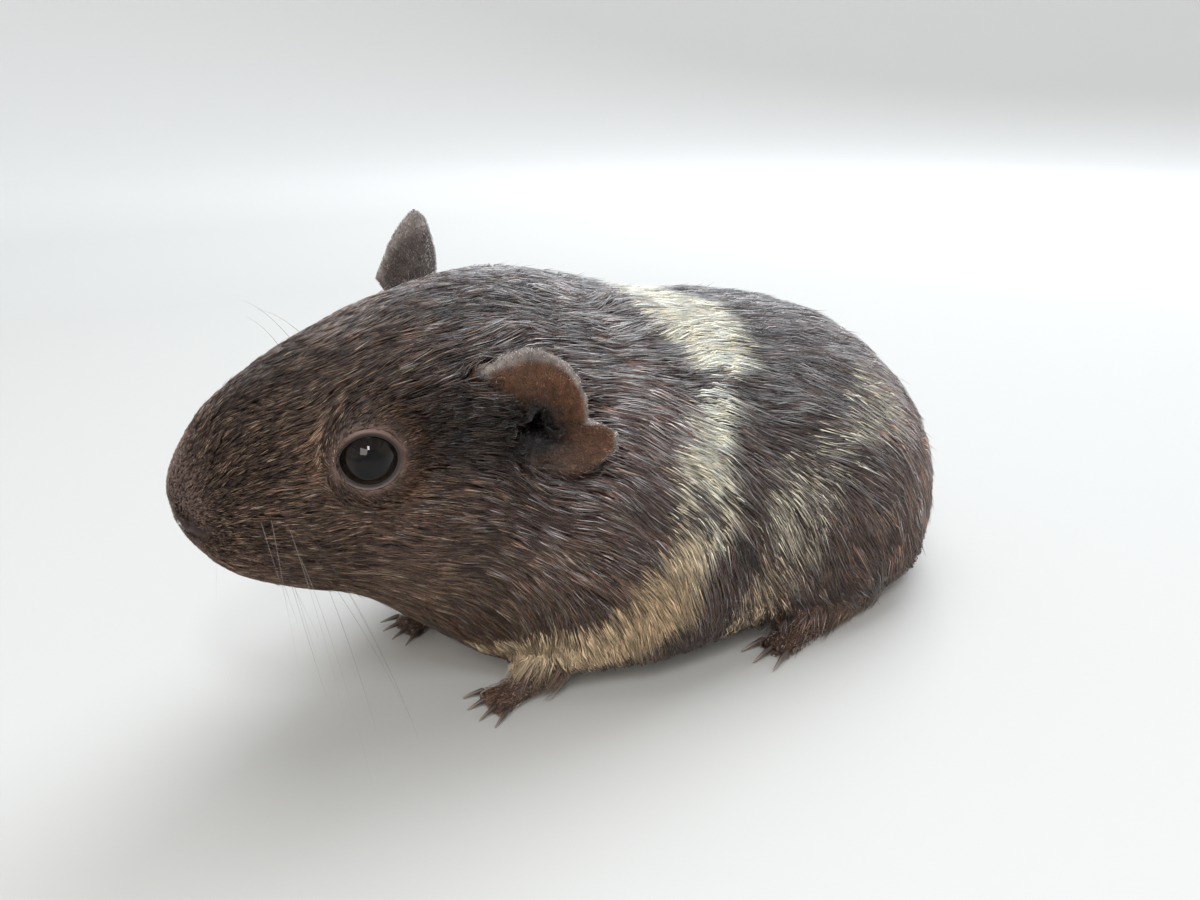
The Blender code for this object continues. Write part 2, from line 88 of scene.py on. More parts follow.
# Along the body, for a place's X in mm: how deep the skin lies under the solids, how long
# and how wide the tufts are in mm, and how many stand on a square millimetre
DEPTH, LENGTH, HALF_WIDTH, DENSITY = 1, 2, 3, 4
COAT_TABLE = (
    # x, depth, length, half width, density
    (-92.0, 0.7, 1.7, 0.060, 15.0),
    (-84.0, 0.8, 2.8, 0.066, 13.0),
    (-72.0, 1.1, 4.4, 0.072, 10.0),
    (-58.0, 1.6, 6.4, 0.080, 7.0),
    (-44.0, 2.2, 8.4, 0.092, 5.0),
    (-30.0, 2.8, 10.0, 0.105, 3.9),
    (0.0, 3.2, 12.0, 0.118, 3.3),
    (40.0, 3.4, 13.5, 0.125, 3.0),
    (92.0, 3.6, 13.5, 0.125, 3.0),
)
# Tufts in all, how many lean together as one lock, and what each one's patch measures on the
# map OFBake, which is 1 across
TUFTS = 236000
CLUMP = 14
PATCH = 0.0028
# Length of the hair on feet and ears in mm, and how many tufts an ear has on a square mm
FOOT_HAIR = 0.9
EAR_HAIR = 0.7
EAR_DENSITY = 9.0
# Lowest height of a tuft's places and of a whisker's
TUFT_FLOOR, WHISKER_FLOOR = 0.15 * MM, 1.5 * MM
# Seeds of the random draws
COAT_SEED, WHISKER_SEED = 76, 12
# Pieces of the coat from nose to rump, and how glossy each one's hair is
PIECES = (
    ("muzzle", 0.35), ("face", 0.40), ("cheeks", 0.50), ("crown", 0.65), ("nape", 0.85),
    ("shoulders", 0.95), ("ribs", 1.0), ("loins", 1.0), ("haunches", 1.0), ("rump", 1.0),
)

# Fall of the hair under the level, in degrees, by height in mm: over shoulder, flank, haunch
LIE_TABLE = (
    (84.0, 0.0, 6.0, 10.0),
    (72.0, 8.0, 14.0, 14.0),
    (62.0, 14.0, 26.0, 22.0),
    (52.0, 21.0, 38.0, 32.0),
    (42.0, 29.0, 49.0, 43.0),
    (32.0, 40.0, 66.0, 52.0),
    (22.0, 53.0, 80.0, 60.0),
    (10.0, 60.0, 84.0, 60.0),
)

# Nostril on one side, seen from the front, the fold over it, the cleft under the nose and the
# mouth, in mm from the tip of the nose: back, out, height
NOSTRIL = ((0.0, 3.6, 48.9), (0.0, 5.4, 49.6), (0.0, 7.4, 49.8), (0.0, 8.8, 49.3))
NOSE_WING = ((1.0, 5.5, 52.6), (2.8, 10.0, 52.2))
CLEFT = ((0.2, 0.0, 51.5), (2.5, 0.0, 44.0))
MOUTH = ((3.2, 0.0, 43.4), (8.5, 7.0, 40.6))
# Depth of the nose's front behind its tip, and how far round a nostril no hair grows, in mm
NOSE_FRONT = 6.0
NOSTRIL_BARE = 1.25

# Where the hair of the face starts from, inside the muzzle, and between which distances
# from there the velvet of the nose ends
NOSE_SOURCE = np.array((-0.098, 0.0, 0.0525))
VELVET_ENDS = (10 * MM, 18 * MM)

# Light band behind the shoulder, from the crest of the back down to the breast: place in mm
# on the left side, half width in mm, strength, and how golden it is
BAND = (
    (8.0, 0.0, 75.5, 11.0, 1.00, 0.10),
    (10.0, -10.0, 73.6, 11.7, 1.00, 0.15),
    (9.9, -15.8, 71.5, 11.7, 1.00, 0.22),
    (9.9, -20.6, 69.3, 11.3, 1.00, 0.15),
    (9.4, -23.4, 66.8, 8.6, 1.00, 0.05),
    (8.9, -26.2, 64.3, 6.6, 0.90, 0.0),
    (7.4, -28.0, 62.5, 4.8, 0.35, 0.0),
    (5.4, -29.8, 59.6, 5.2, 0.55, 0.0),
    (3.5, -32.2, 55.4, 6.2, 0.75, 0.0),
    (1.2, -34.3, 50.3, 6.6, 0.85, 0.05),
    (-1.8, -35.3, 47.2, 7.4, 0.88, 0.10),
    (-4.4, -36.5, 42.0, 8.4, 0.62, 0.15),
    (-4.9, -37.6, 36.2, 8.4, 0.55, 0.35),
    (-9.0, -38.0, 32.0, 7.2, 0.75, 0.65),
    (-12.5, -37.4, 25.4, 8.0, 0.90, 0.85),
    (-15.0, -36.5, 20.0, 9.0, 0.95, 0.90),
    (-19.0, -35.0, 16.0, 7.8, 0.97, 0.90),
    (-26.0, -30.5, 13.0, 6.2, 0.95, 0.85),
    (-34.0, -23.0, 10.0, 4.8, 0.90, 0.80),
    (-42.0, -12.0, 8.0, 4.0, 0.80, 0.80),
)
# Brindled patch on the haunch, in the same columns
HAUNCH = (
    (54.0, -34.0, 48.5, 9.0, 0.42, 0.10),
    (39.5, -38.5, 44.0, 7.5, 0.36, 0.10),
    (28.2, -39.8, 40.1, 9.0, 0.30, 0.10),
    (22.0, -40.1, 36.0, 9.5, 0.42, 0.15),
    (19.0, -41.0, 30.0, 10.5, 0.50, 0.25),
    (18.7, -41.3, 24.9, 9.5, 0.42, 0.40),
    (15.0, -41.0, 18.5, 7.5, 0.45, 0.70),
    (10.0, -40.2, 12.0, 8.5, 0.45, 0.80),
)

# Colours, linear: root, middle and tip of a tuft. The dark roots stand partly for painted shade
# deep in the coat
DARK = ((0.008, 0.005, 0.004), (0.046, 0.0265, 0.0215), (0.120, 0.074, 0.062))
# Grey-tipped hairs: partly the coat's own grey ticking, partly painted sheen
FROST_AND_SHEEN = ((0.012, 0.009, 0.008), (0.130, 0.114, 0.110), (0.480, 0.460, 0.465))
TAN = ((0.012, 0.008, 0.005), (0.088, 0.051, 0.034), (0.390, 0.255, 0.165))
RUST = ((0.030, 0.015, 0.009), (0.095, 0.048, 0.027), (0.190, 0.100, 0.055))
CREAM = ((0.600, 0.480, 0.330), (0.930, 0.850, 0.660), (0.950, 0.920, 0.820))
GOLD = ((0.200, 0.115, 0.055), (0.480, 0.310, 0.165), (0.680, 0.490, 0.290))
# Where the coat is darker or lighter than elsewhere: place on the left in mm, radius, factor. Some
# rows are the coat's own colour, others painted shade or painted sheen
SHADES = (
    # Darker face: the coat's own colour
    (-70.0, -16.0, 50.0, 26.0, 0.82),
    # Darker between eye and ear and under the ear: painted shade
    (-51.0, -23.0, 63.0, 9.5, 0.25),
    (-43.0, -27.0, 57.0, 6.0, 0.50),
    (-33.0, -32.0, 50.0, 8.0, 0.60),
    # Darker brow, crown and snout: the coat's own colour
    (-76.0, -6.0, 71.0, 14.0, 0.50),
    (-60.0, -10.0, 79.0, 14.0, 0.80),
    (-86.0, -9.0, 60.0, 9.0, 0.70),
    # Lighter cheeks: painted sheen
    (-59.0, -24.0, 47.0, 8.0, 1.35),
    (-60.0, -20.0, 38.0, 14.0, 1.15),
    # Lighter nape, shoulders, back and rump: painted sheen, and on the rump painted light where
    # the lamps' light falls off
    (-22.0, -16.0, 76.0, 17.0, 1.60),
    (-14.0, -30.0, 57.0, 15.0, 2.15),
    (-28.0, -30.0, 36.0, 13.0, 1.60),
    (45.0, -26.0, 60.0, 26.0, 1.20),
    (64.0, -35.0, 36.0, 18.0, 1.50),
    (78.0, -28.0, 46.0, 30.0, 2.30),
)
EAR_SKIN = (0.125, 0.058, 0.032)
EAR_RIM = (0.240, 0.200, 0.178)
EAR_BACK = (0.090, 0.070, 0.062)
LID_SKIN = (0.165, 0.102, 0.080)
NOSE_SKIN = (0.066, 0.036, 0.029)
NOSE_HAIR = ((0.085, 0.053, 0.044), (0.180, 0.120, 0.098), (0.320, 0.230, 0.195))
# Painted shade in the nostrils, the cleft, the mouth and the ears' canals
HOLLOW_SHADE = (0.006, 0.004, 0.004)
TEAR_EDGE = (0.015, 0.010, 0.009)
# Painted highlight along the wet lower lid
WET_LID_HIGHLIGHT = (0.30, 0.30, 0.31)
PUPIL = (0.0015, 0.0012, 0.0014)
IRIS = (0.011, 0.007, 0.005)
EYE_EDGE = (0.004, 0.003, 0.003)
CLAW_ROOT = (0.060, 0.040, 0.032)
CLAW_TIP = (0.260, 0.205, 0.155)
WHISKER_PALE = (0.34, 0.31, 0.27)
WHISKER_DARK = (0.05, 0.04, 0.034)
BROW_HAIR = (0.10, 0.07, 0.05)

# Layer of a mesh that holds its colours, values of each material's shader, and the size,
# strength and depth of its grain
COLOUR_LAYER = "Hair"
SKIN_LOOK = {"Roughness": 0.55, "Specular IOR Level": 0.35}
SKIN_GRAIN = (0.6 * MM, 0.5, 0.15 * MM)
HAIR_ROUGHNESS = 0.38
EYE_LOOK = {
    "Roughness": 0.3, "Specular IOR Level": 0.0,
    "Coat Weight": 1.0, "Coat Roughness": 0.015, "Coat IOR": 1.33,
}
CLAW_LOOK = {"Roughness": 0.35}
CLAW_GRAIN = (0.35 * MM, 0.35, 0.05 * MM)
WHISKER_LOOK = {"Roughness": 0.3}
FLOOR_LOOK = {"Roughness": 0.9, "Specular IOR Level": 0.2}

# Eye: angle from its gaze to the edge of the lids, the lids' width as an angle, and how far
# from the line of gaze no hair grows, in mm
OPENING = math.radians(61.0)
LID_WIDTH = math.radians(13.0)
BARE_RING = 5.15

# From each ear's middle to its canal, in mm, the way its cup faces, and its upward direction
EAR_FRAME = {
    "left": ((-1.8, 2.6, -1.8), (-0.49, -0.86, 0.11), (0.07, -0.32, 0.95)),
    "right": ((-2.5, -0.4, -3.8), (-0.28, 0.82, 0.50), (0.09, -0.15, 0.98)),
}

# Feet on the left: heel, toes, and how far from that line the foot's short hair ends, in mm
FEET = (
    ((-33.0, -20.0, 5.0), (-45.0, -17.5, 1.5), 6.0),
    ((48.0, -36.0, 4.0), (14.0, -39.5, 1.5), 6.5),
)


def smooth(value, start, end):
    """Share from 0 at start to 1 at end, with soft ends."""
    t = np.clip((value - start) / (end - start), 0.0, 1.0)
    return t * t * (3.0 - 2.0 * t)


def fade(value, start, end):
    """Share from 1 at start to 0 at end, with soft ends."""
    return 1.0 - smooth(value, start, end)


def mix(first, second, share):
    """Blend of two colours or directions, given once for all places or for each place."""
    first, second = np.asarray(first), np.asarray(second)
    return first + (second - first) * share[:, None]


def bell(distance, width, power=2):
    """Share that is 1 at no distance and falls off softly round the width."""
    return np.exp(-((distance / width) ** power))


def lengths(vectors):
    """Length of each vector."""
    return np.linalg.norm(vectors, axis=1)


def unit(vectors):
    """Vectors brought to length 1."""
    return vectors / np.maximum(np.linalg.norm(vectors, axis=1, keepdims=True), 1e-12)


def along_skin(vectors, normals):
    """Vectors flattened onto the skin, as unit vectors."""
    return unit(vectors - (vectors * normals).sum(1, keepdims=True) * normals)


def turned(headings, normals, angles):
    """Unit directions along the skin, each turned about its normal."""
    sideways = np.cross(normals, headings)
    return unit(headings * np.cos(angles)[:, None] + sideways * np.sin(angles)[:, None])


def waves(points, size, seed, count=8):
    """Smooth random field of about -1 to 1, with features of the given size."""
    rng = np.random.default_rng(seed)
    heading = rng.normal(size=(count, 3))
    heading *= (math.tau / size) / np.linalg.norm(heading, axis=1, keepdims=True)
    heading *= rng.uniform(0.7, 1.4, (count, 1))
    phase = rng.uniform(0.0, math.tau, count)
    return np.sin(points @ heading.T + phase).sum(1) / math.sqrt(count)


def coat_value(points, column):
    """Column of the coat table at each place."""
    table = np.array(COAT_TABLE)
    return np.interp(points[:, 0] / MM, table[:, 0], table[:, column])


def to_segment(points, start, end):
    """Distance of each point to a straight stretch, and its share along it."""
    start, end = np.array(start), np.array(end)
    along = end - start
    share = np.clip(((points - start) @ along) / (along @ along), 0.0, 1.0)
    return lengths(points - start - share[:, None] * along), share


def on_left(points):
    """Places with those of the right side folded onto the left."""
    folded = points.copy()
    folded[:, 1] = -np.abs(points[:, 1])
    return folded


def foot_share(points):
    """How far a place belongs to a foot, from 0 to 1."""
    folded = on_left(points) / MM
    share = np.zeros(len(points))
    for heel, toes, reach in FEET:
        away, _ = to_segment(folded, heel, toes)
        share = np.maximum(share, fade(away, 0.55 * reach, reach))
    return share


class Eye:
    """Place, size and gaze of an eye, read from its solid and from the skin round it."""

    def __init__(self, side_name):
        low, high = (np.array(corner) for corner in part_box(f"eye_{side_name}"))
        self.name = side_name
        self.centre = (low + high) / 2
        self.radius = float((high - low).mean() / 2)

    def look(self, skin_points):
        """Finds the gaze: away from the bowl of skin behind the eye."""
        away = skin_points - self.centre
        near = lengths(away) < self.radius + 0.8 * MM
        gaze = -away[near].mean(axis=0)
        self.gaze = gaze / np.linalg.norm(gaze)
        forward = np.array((-1.0, 0.0, 0.0))
        forward -= (forward @ self.gaze) * self.gaze
        self.forward = forward / np.linalg.norm(forward)
        self.up = np.cross(self.gaze, self.forward)
        if self.up[2] < 0.0:
            self.up = -self.up

    def beside(self, points):
        """Distance of each place from the line of gaze, in mm, and far where it is behind."""
        away = (points - self.centre) / MM
        depth = away @ self.gaze
        beside = lengths(away - depth[:, None] * self.gaze)
        return np.where(depth > -2.0, beside, 99.0)


class Ear:
    """Middle, outward direction and surface of an ear, read from its solid."""

    def __init__(self, side_name):
        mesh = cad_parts[f"ear_{side_name}"].data
        places = points_of(mesh)
        self.centre = places.mean(axis=0)
        shift, out, up = EAR_FRAME[side_name]
        self.out, self.up = unit(np.array((out, up)))
        self.along = np.cross(self.up, self.out)
        self.along *= np.sign(self.along[0])
        self.low, self.high = places.min(axis=0), places.max(axis=0)
        self.canal = self.centre + np.array(shift) * MM
        turn, reach = self.polar(places)
        self.angles = np.radians(np.arange(-180.0, 181.0, 10.0))
        self.reach = np.array([
            reach[np.abs(np.angle(np.exp(1j * (turn - angle)))) < 0.15].max(initial=0.1 * MM)
            for angle in self.angles
        ])
        bm = bmesh.new()
        bm.from_mesh(mesh)
        self.tree = BVHTree.FromBMesh(bm)
        bm.free()

    def share(self, points, far=1.6 * MM):
        """How far each place belongs to the ear, from 0, so far from it, to 1."""
        share = np.zeros(len(points))
        inside = np.all((points > self.low - far) & (points < self.high + far), axis=1)
        for i in np.nonzero(inside)[0]:
            away = self.tree.find_nearest(Vector(points[i]), far)[3]
            if away is not None:
                share[i] = fade(away, 0.5 * MM, far)
        return share

    def polar(self, points):
        """Angle and distance of each place from the canal, in the plane of the leaf."""
        away = points - self.canal
        across, above = away @ self.along, away @ self.up
        return np.arctan2(above, across), np.hypot(across, above)

    def rim(self, points):
        """How near each place is to the upper rim of the leaf, from 0 to 1."""
        turn, reach = self.polar(points)
        share = reach / np.interp(turn, self.angles, self.reach)
        broad = 0.10 * smooth(np.cos(turn - math.radians(105.0)), 0.3, 1.0)
        return smooth(share, 0.91 - broad, 1.0 - broad) * smooth(np.sin(turn), -0.35, 0.05)

    def shade(self, points):
        """How light the leaf is: painted shade darkening it towards the canal, in the hollow of
        its cup, and darker on the lobe under it.
        """
        turn, reach = self.polar(points)
        lobe = 0.5 + 0.5 * smooth(np.sin(turn), -0.5, 0.5)
        return lobe * (0.5 + 0.5 * smooth(reach, 3.0 * MM, 10.0 * MM))

    def cup(self, points, near=3.2, far=5.0):
        """How far each place is inside the ear's cup, from 0, far mm off its axis, to 1."""
        away = (points - self.canal) / MM
        depth = away @ self.out
        beside = lengths(away - depth[:, None] * self.out)
        return fade(beside, near, far) * fade(np.abs(depth), 7.0, 9.0)

    def close_by(self, points):
        """How near each place is to the ear's root, from 0 to 1."""
        return self.share(points, 4.0 * MM)


def vectors_of(items, key):
    """Array with one vector of each item of a mesh."""
    values = np.empty(len(items) * 3, dtype=np.float32)
    items.foreach_get(key, values)
    return values.reshape(-1, 3).astype(float)


def points_of(mesh):
    """Places of a mesh's vertices."""
    return vectors_of(mesh.vertices, "co")


def normals_of(mesh):
    """Normals of a mesh at its vertices."""
    return vectors_of(mesh.vertex_normals, "vector")


def move_to(mesh, places):
    """Moves the vertices of a mesh to new places."""
    mesh.vertices.foreach_set("co", places.astype(np.float32).ravel())
    mesh.update()


def mesh_of(name, places, faces):
    """Smooth mesh of triangles."""
    mesh = bpy.data.meshes.new(name)
    mesh.vertices.add(len(places))
    mesh.vertices.foreach_set("co", places.astype(np.float32).ravel())
    mesh.loops.add(faces.size)
    mesh.loops.foreach_set("vertex_index", faces.astype(np.int32).ravel())
    mesh.polygons.add(len(faces))
    mesh.polygons.foreach_set("loop_start", np.arange(0, faces.size, 3, dtype=np.int32))
    mesh.update(calc_edges=True)
    mesh.shade_smooth()
    return mesh


def paint(mesh, colours):
    """Colour of each vertex."""
    layer = mesh.color_attributes.new(COLOUR_LAYER, "FLOAT_COLOR", "POINT")
    rgba = np.ones((len(colours), 4), dtype=np.float32)
    rgba[:, :3] = colours
    layer.data.foreach_set("color", rgba.ravel())


def painted_mesh(name, parts):
    """One coloured mesh of several parts, each given as its places, faces and colours."""
    starts = np.cumsum([0] + [len(places) for places, _, _ in parts])
    faces = np.concatenate([part[1] + start for part, start in zip(parts, starts)])
    mesh = mesh_of(name, np.concatenate([part[0] for part in parts]), faces)
    paint(mesh, np.concatenate([part[2] for part in parts]))
    return mesh


def welded(mesh):
    """Editable copy of a mesh, where corners at one place are one corner."""
    bm = bmesh.new()
    bm.from_mesh(mesh)
    bmesh.ops.remove_doubles(bm, verts=bm.verts, dist=1e-6)
    return bm


def add(name, data, spot=(0.0, 0.0, 0.0)):
    """Object of a mesh, light or camera in the scene."""
    made = bpy.data.objects.new(name, data)
    made.location = spot
    bpy.context.collection.objects.link(made)
    return made


def place(name, mesh, look):
    """Piece of the animal in the scene, riding on the one body."""
    mesh.materials.append(look)
    made = add(name, mesh)
    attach(made, "root")
    return made


def settle(made):
    """Makes the object's modifiers part of its mesh."""
    graph = bpy.context.evaluated_depsgraph_get()
    mesh = bpy.data.meshes.new_from_object(made.evaluated_get(graph))
    made.modifiers.clear()
    old = made.data
    made.data = mesh
    bpy.data.meshes.remove(old)


# ---- markings

def band_share(points, rows):
    """Strength and goldenness of a band that runs through the rows, on the left side."""
    places = points / MM
    best = np.full(len(points), 9.0)
    strength = np.zeros(len(points))
    golden = np.zeros(len(points))
    for first, second in zip(rows, rows[1:]):
        away, share = to_segment(places, first[:3], second[:3])
        wide, strong, gold = (first[k] + (second[k] - first[k]) * share for k in (3, 4, 5))
        ratio = away / wide
        closer = ratio < best
        best = np.where(closer, ratio, best)
        strength = np.where(closer, strong, strength)
        golden = np.where(closer, gold, golden)
    return strength * fade(best, 0.6, 1.35), golden


def markings(points):
    """Share of light hairs, how golden they are, and whether they belong to the haunch.

    The right side carries the same two patches, a little further back.
    """
    folded = on_left(points)
    folded[:, 0] -= 4.0 * MM * smooth(points[:, 1], 0.0, 20.0 * MM)
    wander = np.stack([waves(points, 26 * MM, seed) for seed in (1, 2, 3)], axis=1)
    folded += 1.2 * MM * wander
    band, band_gold = band_share(folded, BAND)
    haunch, haunch_gold = band_share(folded, HAUNCH)
    brindle = haunch > band
    return np.maximum(band, haunch), np.where(brindle, haunch_gold, band_gold), brindle


def warm_share(points):
    """Share of rust-brown hairs: behind and over the eyes, on the nose and low down."""
    share = np.zeros(len(points))
    for eye in eyes:
        away = points - eye.centre
        behind = away @ eye.forward
        reach = lengths(away)
        ring = bell(reach - 8.5 * MM, 3.5 * MM)
        share = np.maximum(share, ring * (0.25 + 0.75 * smooth(-behind, -3 * MM, 7 * MM)))
    tip = lengths(points - NOSE_SOURCE)
    low = fade(points[:, 2], 12 * MM, 40 * MM)
    return np.maximum(np.maximum(share, 0.35 * low), 0.5 * fade(tip, 8 * MM, 16 * MM))


def tan_share(points):
    """Share of tan-tipped hairs: most on the face and cheeks, fewest on the rump."""
    x = points[:, 0]
    share = 0.42 * fade(x, -70 * MM, -20 * MM) + 0.06
    low = fade(points[:, 2], 22 * MM, 48 * MM)
    front = fade(x, -30 * MM, 0.0)
    return np.clip(share + 0.25 * low * front, 0.0, 1.0)


def frost_and_sheen_share(points, facing):
    """Share of grey-tipped hairs, partly the coat's own grey ticking and partly painted sheen:
    most on the nape and the top of the back, where the coat faces up.
    """
    x, _, z = points.T / MM
    # Painted sheen: more grey tips where the coat faces up
    top = smooth(facing[:, 2], -0.1, 0.6) * smooth(z, 30.0, 62.0)
    return smooth(x, -62.0, -28.0) * (0.14 + 0.50 * top)


def shading(points):
    """How light the coat is at each place, against its own colour: random tone, a darker face,
    brow and snout, a paler patch before each eye and paler feet, with painted shade between
    eye and ear, under the ear and round each ear's canal, and painted sheen and light on the
    cheeks, nape, shoulders, back and rump.
    """
    folded = on_left(points) / MM
    light = np.exp(0.16 * waves(points, 19 * MM, 43) + 0.10 * waves(points, 7 * MM, 42))
    for x, y, z, radius, factor in SHADES:
        away = lengths(folded - np.array((x, y, z)))
        light *= 1.0 + (factor - 1.0) * bell(away, radius)
    for eye in eyes:
        corner = eye.centre + eye.forward * 7.5 * MM - eye.up * 3.0 * MM
        light *= 1.0 + 0.8 * bell(lengths(points - corner), 4.5 * MM)
    for ear in ears:
        # Painted shade round each ear's canal
        light *= 1.0 - 0.85 * ear.cup(points, 3.0, 9.5)
    return light * (1.0 + 0.4 * foot_share(points))


def nose_share(points):
    """How near each place is to the short velvet of the nose, from 0 to 1."""
    return fade(lengths(points - NOSE_SOURCE), *VELVET_ENDS)


def skin_colours(points):
    """Colour of the skin, dark under the dark hair and pale under the light: the hair's colour a
    little darker, as painted shade in the coat's gaps, with the coat's painted shade and sheen.
    """
    light, golden, _ = markings(points)
    dark, rust, cream, gold = (np.array(hair[1]) * 0.8 for hair in (DARK, RUST, CREAM, GOLD))
    dark = mix(dark, rust, warm_share(points) * 0.7) * shading(points)[:, None]
    colours = mix(dark, mix(cream, gold, golden), light**1.5)
    colours = mix(colours, NOSE_SKIN, nose_share(points) * 0.9)
    ring = fade(beside_eye(points), 5.2, 6.9)
    return mix(colours, LID_SKIN, ring * 0.85)


def ear_colours(places, normals, ear):
    """Colour of an ear's skin: paler along the rim, with painted shade towards the canal and a
    darker lobe.
    """
    leaf = mix(EAR_BACK, EAR_SKIN, smooth(normals @ ear.out, -0.2, 0.2))
    leaf = mix(leaf, EAR_RIM, ear.rim(places)) * ear.shade(places)[:, None]
    mottled = 1.0 + 0.18 * waves(places, 2.5 * MM, 31) + 0.12 * waves(places, 7 * MM, 32)
    return leaf * mottled[:, None]


# ---- skin

def flesh_mesh():
    """All nodes of flesh as one closed mesh, a little swollen so that their gaps close."""
    whole = bmesh.new()
    for name in FLESH:
        part = welded(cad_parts[name].data)
        part.normal_update()
        for vert in part.verts:
            vert.co += vert.normal * SKIN_CLOSE
        mesh = bpy.data.meshes.new("part")
        part.to_mesh(mesh)
        part.free()
        whole.from_mesh(mesh)
        bpy.data.meshes.remove(mesh)
    mesh = bpy.data.meshes.new("skin")
    whole.to_mesh(mesh)
    whole.free()
    return mesh


def relax(mesh, weights, rounds):
    """Vertices drawn towards their neighbours, by each one's weight."""
    pairs = np.empty(len(mesh.edges) * 2, dtype=np.int32)
    mesh.edges.foreach_get("vertices", pairs)
    first, second = pairs.reshape(-1, 2).T
    places = points_of(mesh)
    count = np.bincount(first, minlength=len(places)) + np.bincount(second, minlength=len(places))
    for _ in range(rounds):
        total = np.zeros_like(places)
        for k in range(3):
            total[:, k] = np.bincount(first, places[second, k], len(places))
            total[:, k] += np.bincount(second, places[first, k], len(places))
        places += (total / np.maximum(count, 1)[:, None] - places) * weights[:, None]
    move_to(mesh, places)


def skin_depth(points, ear_share):
    """Depth of the skin under the solids' surface."""
    depth = coat_value(points, DEPTH) * MM
    depth *= 1.0 - 0.75 * foot_share(points)
    for eye in eyes:
        away = lengths(points - eye.centre)
        depth *= 0.15 + 0.85 * smooth(away, 7.0 * MM, 11.0 * MM)
    depth *= 1.0 - 0.6 * nose_share(points)
    return depth * (1.0 - ear_share) + SKIN_CLOSE * (1.0 - 0.6 * ear_share)


def from_nose(points):
    """Places in mm from the tip of the nose, with both sides folded onto the right."""
    folded = points / MM - np.array((NOSE_TIP, 0.0, 0.0))
    folded[:, 1] = np.abs(folded[:, 1])
    return folded


def nostril_slit(points):
    """Distance of each place to the nearer nostril, seen from the front, in mm."""
    folded = from_nose(points)
    folded[:, 0] = np.maximum(folded[:, 0] - NOSE_FRONT, 0.0)
    ways = [to_segment(folded, start, end)[0] for start, end in zip(NOSTRIL, NOSTRIL[1:])]
    return np.minimum.reduce(ways)


def nose_details(places, normals):
    """Places with nostrils, the folds over them, cleft and mouth, and how much painted shade
    darkens each place in the nostrils, cleft and mouth.
    """
    folded = from_nose(places)
    slit = nostril_slit(places)
    wing, cleft, mouth = (to_segment(folded, *line)[0] for line in (NOSE_WING, CLEFT, MOUTH))
    push = 0.7 * bell(wing, 1.6) - 1.5 * bell(slit, 0.9)
    push -= 0.5 * bell(cleft, 0.6) + 0.7 * bell(mouth, 0.7)
    dark = np.maximum(bell(slit, 1.05, 4), 0.5 * bell(cleft, 0.6))
    dark = np.maximum(dark, 0.7 * bell(mouth, 0.7))
    return places + normals * (push * MM)[:, None], dark


def ear_details(places, normals, share):
    """Places with the fine wrinkles of an ear."""
    ripple = waves(places, 3.2 * MM, 21) * 0.05 + waves(places, 9.0 * MM, 22) * 0.10
    return places + normals * (ripple * share * MM)[:, None]


def hump(t, middle, width):
    """Share that is 1 at one place across the lid and falls off on both sides of it."""
    return math.exp(-((t - middle) / width) ** 2)


def lid_mesh(eye):
    """Thin-haired ring of skin round the eye, with its wet edge, a painted highlight along the wet
    lower lid, and its fine folds.
    """
    around, across = 96, 14
    places, colours, faces = [], [], []
    for i in range(around):
        angle = math.tau * i / around
        ahead, above = math.cos(angle), math.sin(angle)
        corner = max(ahead, 0.0) ** 6
        rear = max(-ahead, 0.0) ** 8
        inner = OPENING + math.radians(6.5) * corner + math.radians(2.5) * rear
        inner -= math.radians(3.0) * (1.0 if above > 0 else 0.6) * above**2
        turn = ahead * eye.forward + above * eye.up
        for j in range(across):
            t = j / (across - 1)
            tilt = inner + LID_WIDTH * (1.0 + 0.25 * corner) * t
            tilt -= math.radians(3.0) * (1.0 - t) ** 3
            lip = 0.42 * hump(t, 0.10, 0.10)
            roll = 0.75 * hump(t, 0.38, 0.26)
            fold = 0.14 * math.sin(t * 19.0 + 0.8 * above) * hump(t, 0.62, 0.25)
            sink = -1.6 * t**4
            rise = (0.05 + lip + roll * (0.85 + 0.25 * max(above, 0.0)) + fold + sink) * MM
            direction = math.cos(tilt) * eye.gaze + math.sin(tilt) * turn
            places.append(eye.centre + direction * (eye.radius + rise))
            base = np.array(LID_SKIN) * (0.75 + 0.35 * t)
            wet = hump(t, 0.02, 0.08)
            base = base * (1.0 - 0.9 * wet) + np.array(TEAR_EDGE) * 0.9 * wet
            # Painted highlight: a pale line along the wet lower lid
            line = hump(t, 0.13, 0.05) * max(0.0, -above) ** 1.5
            base = base + np.array(WET_LID_HIGHLIGHT) * line
            outer = smooth(t, 0.6, 1.0)
            colours.append(base * (1.0 - outer) + np.array(RUST[1]) * 0.9 * outer)
    for i in range(around):
        n = (i + 1) % around
        for j in range(across - 1):
            a, b = i * across + j, n * across + j
            faces += [(a, b, b + 1), (a, b + 1, a + 1)]
    places.append(eye.centre)
    colours.append(np.array(LID_SKIN))
    last = len(places) - 1
    for i in range(around):
        n = (i + 1) % around
        faces.append((n * across, i * across, last))
        faces.append((i * across + across - 1, n * across + across - 1, last))
    return np.array(places), np.array(faces), np.array(colours)


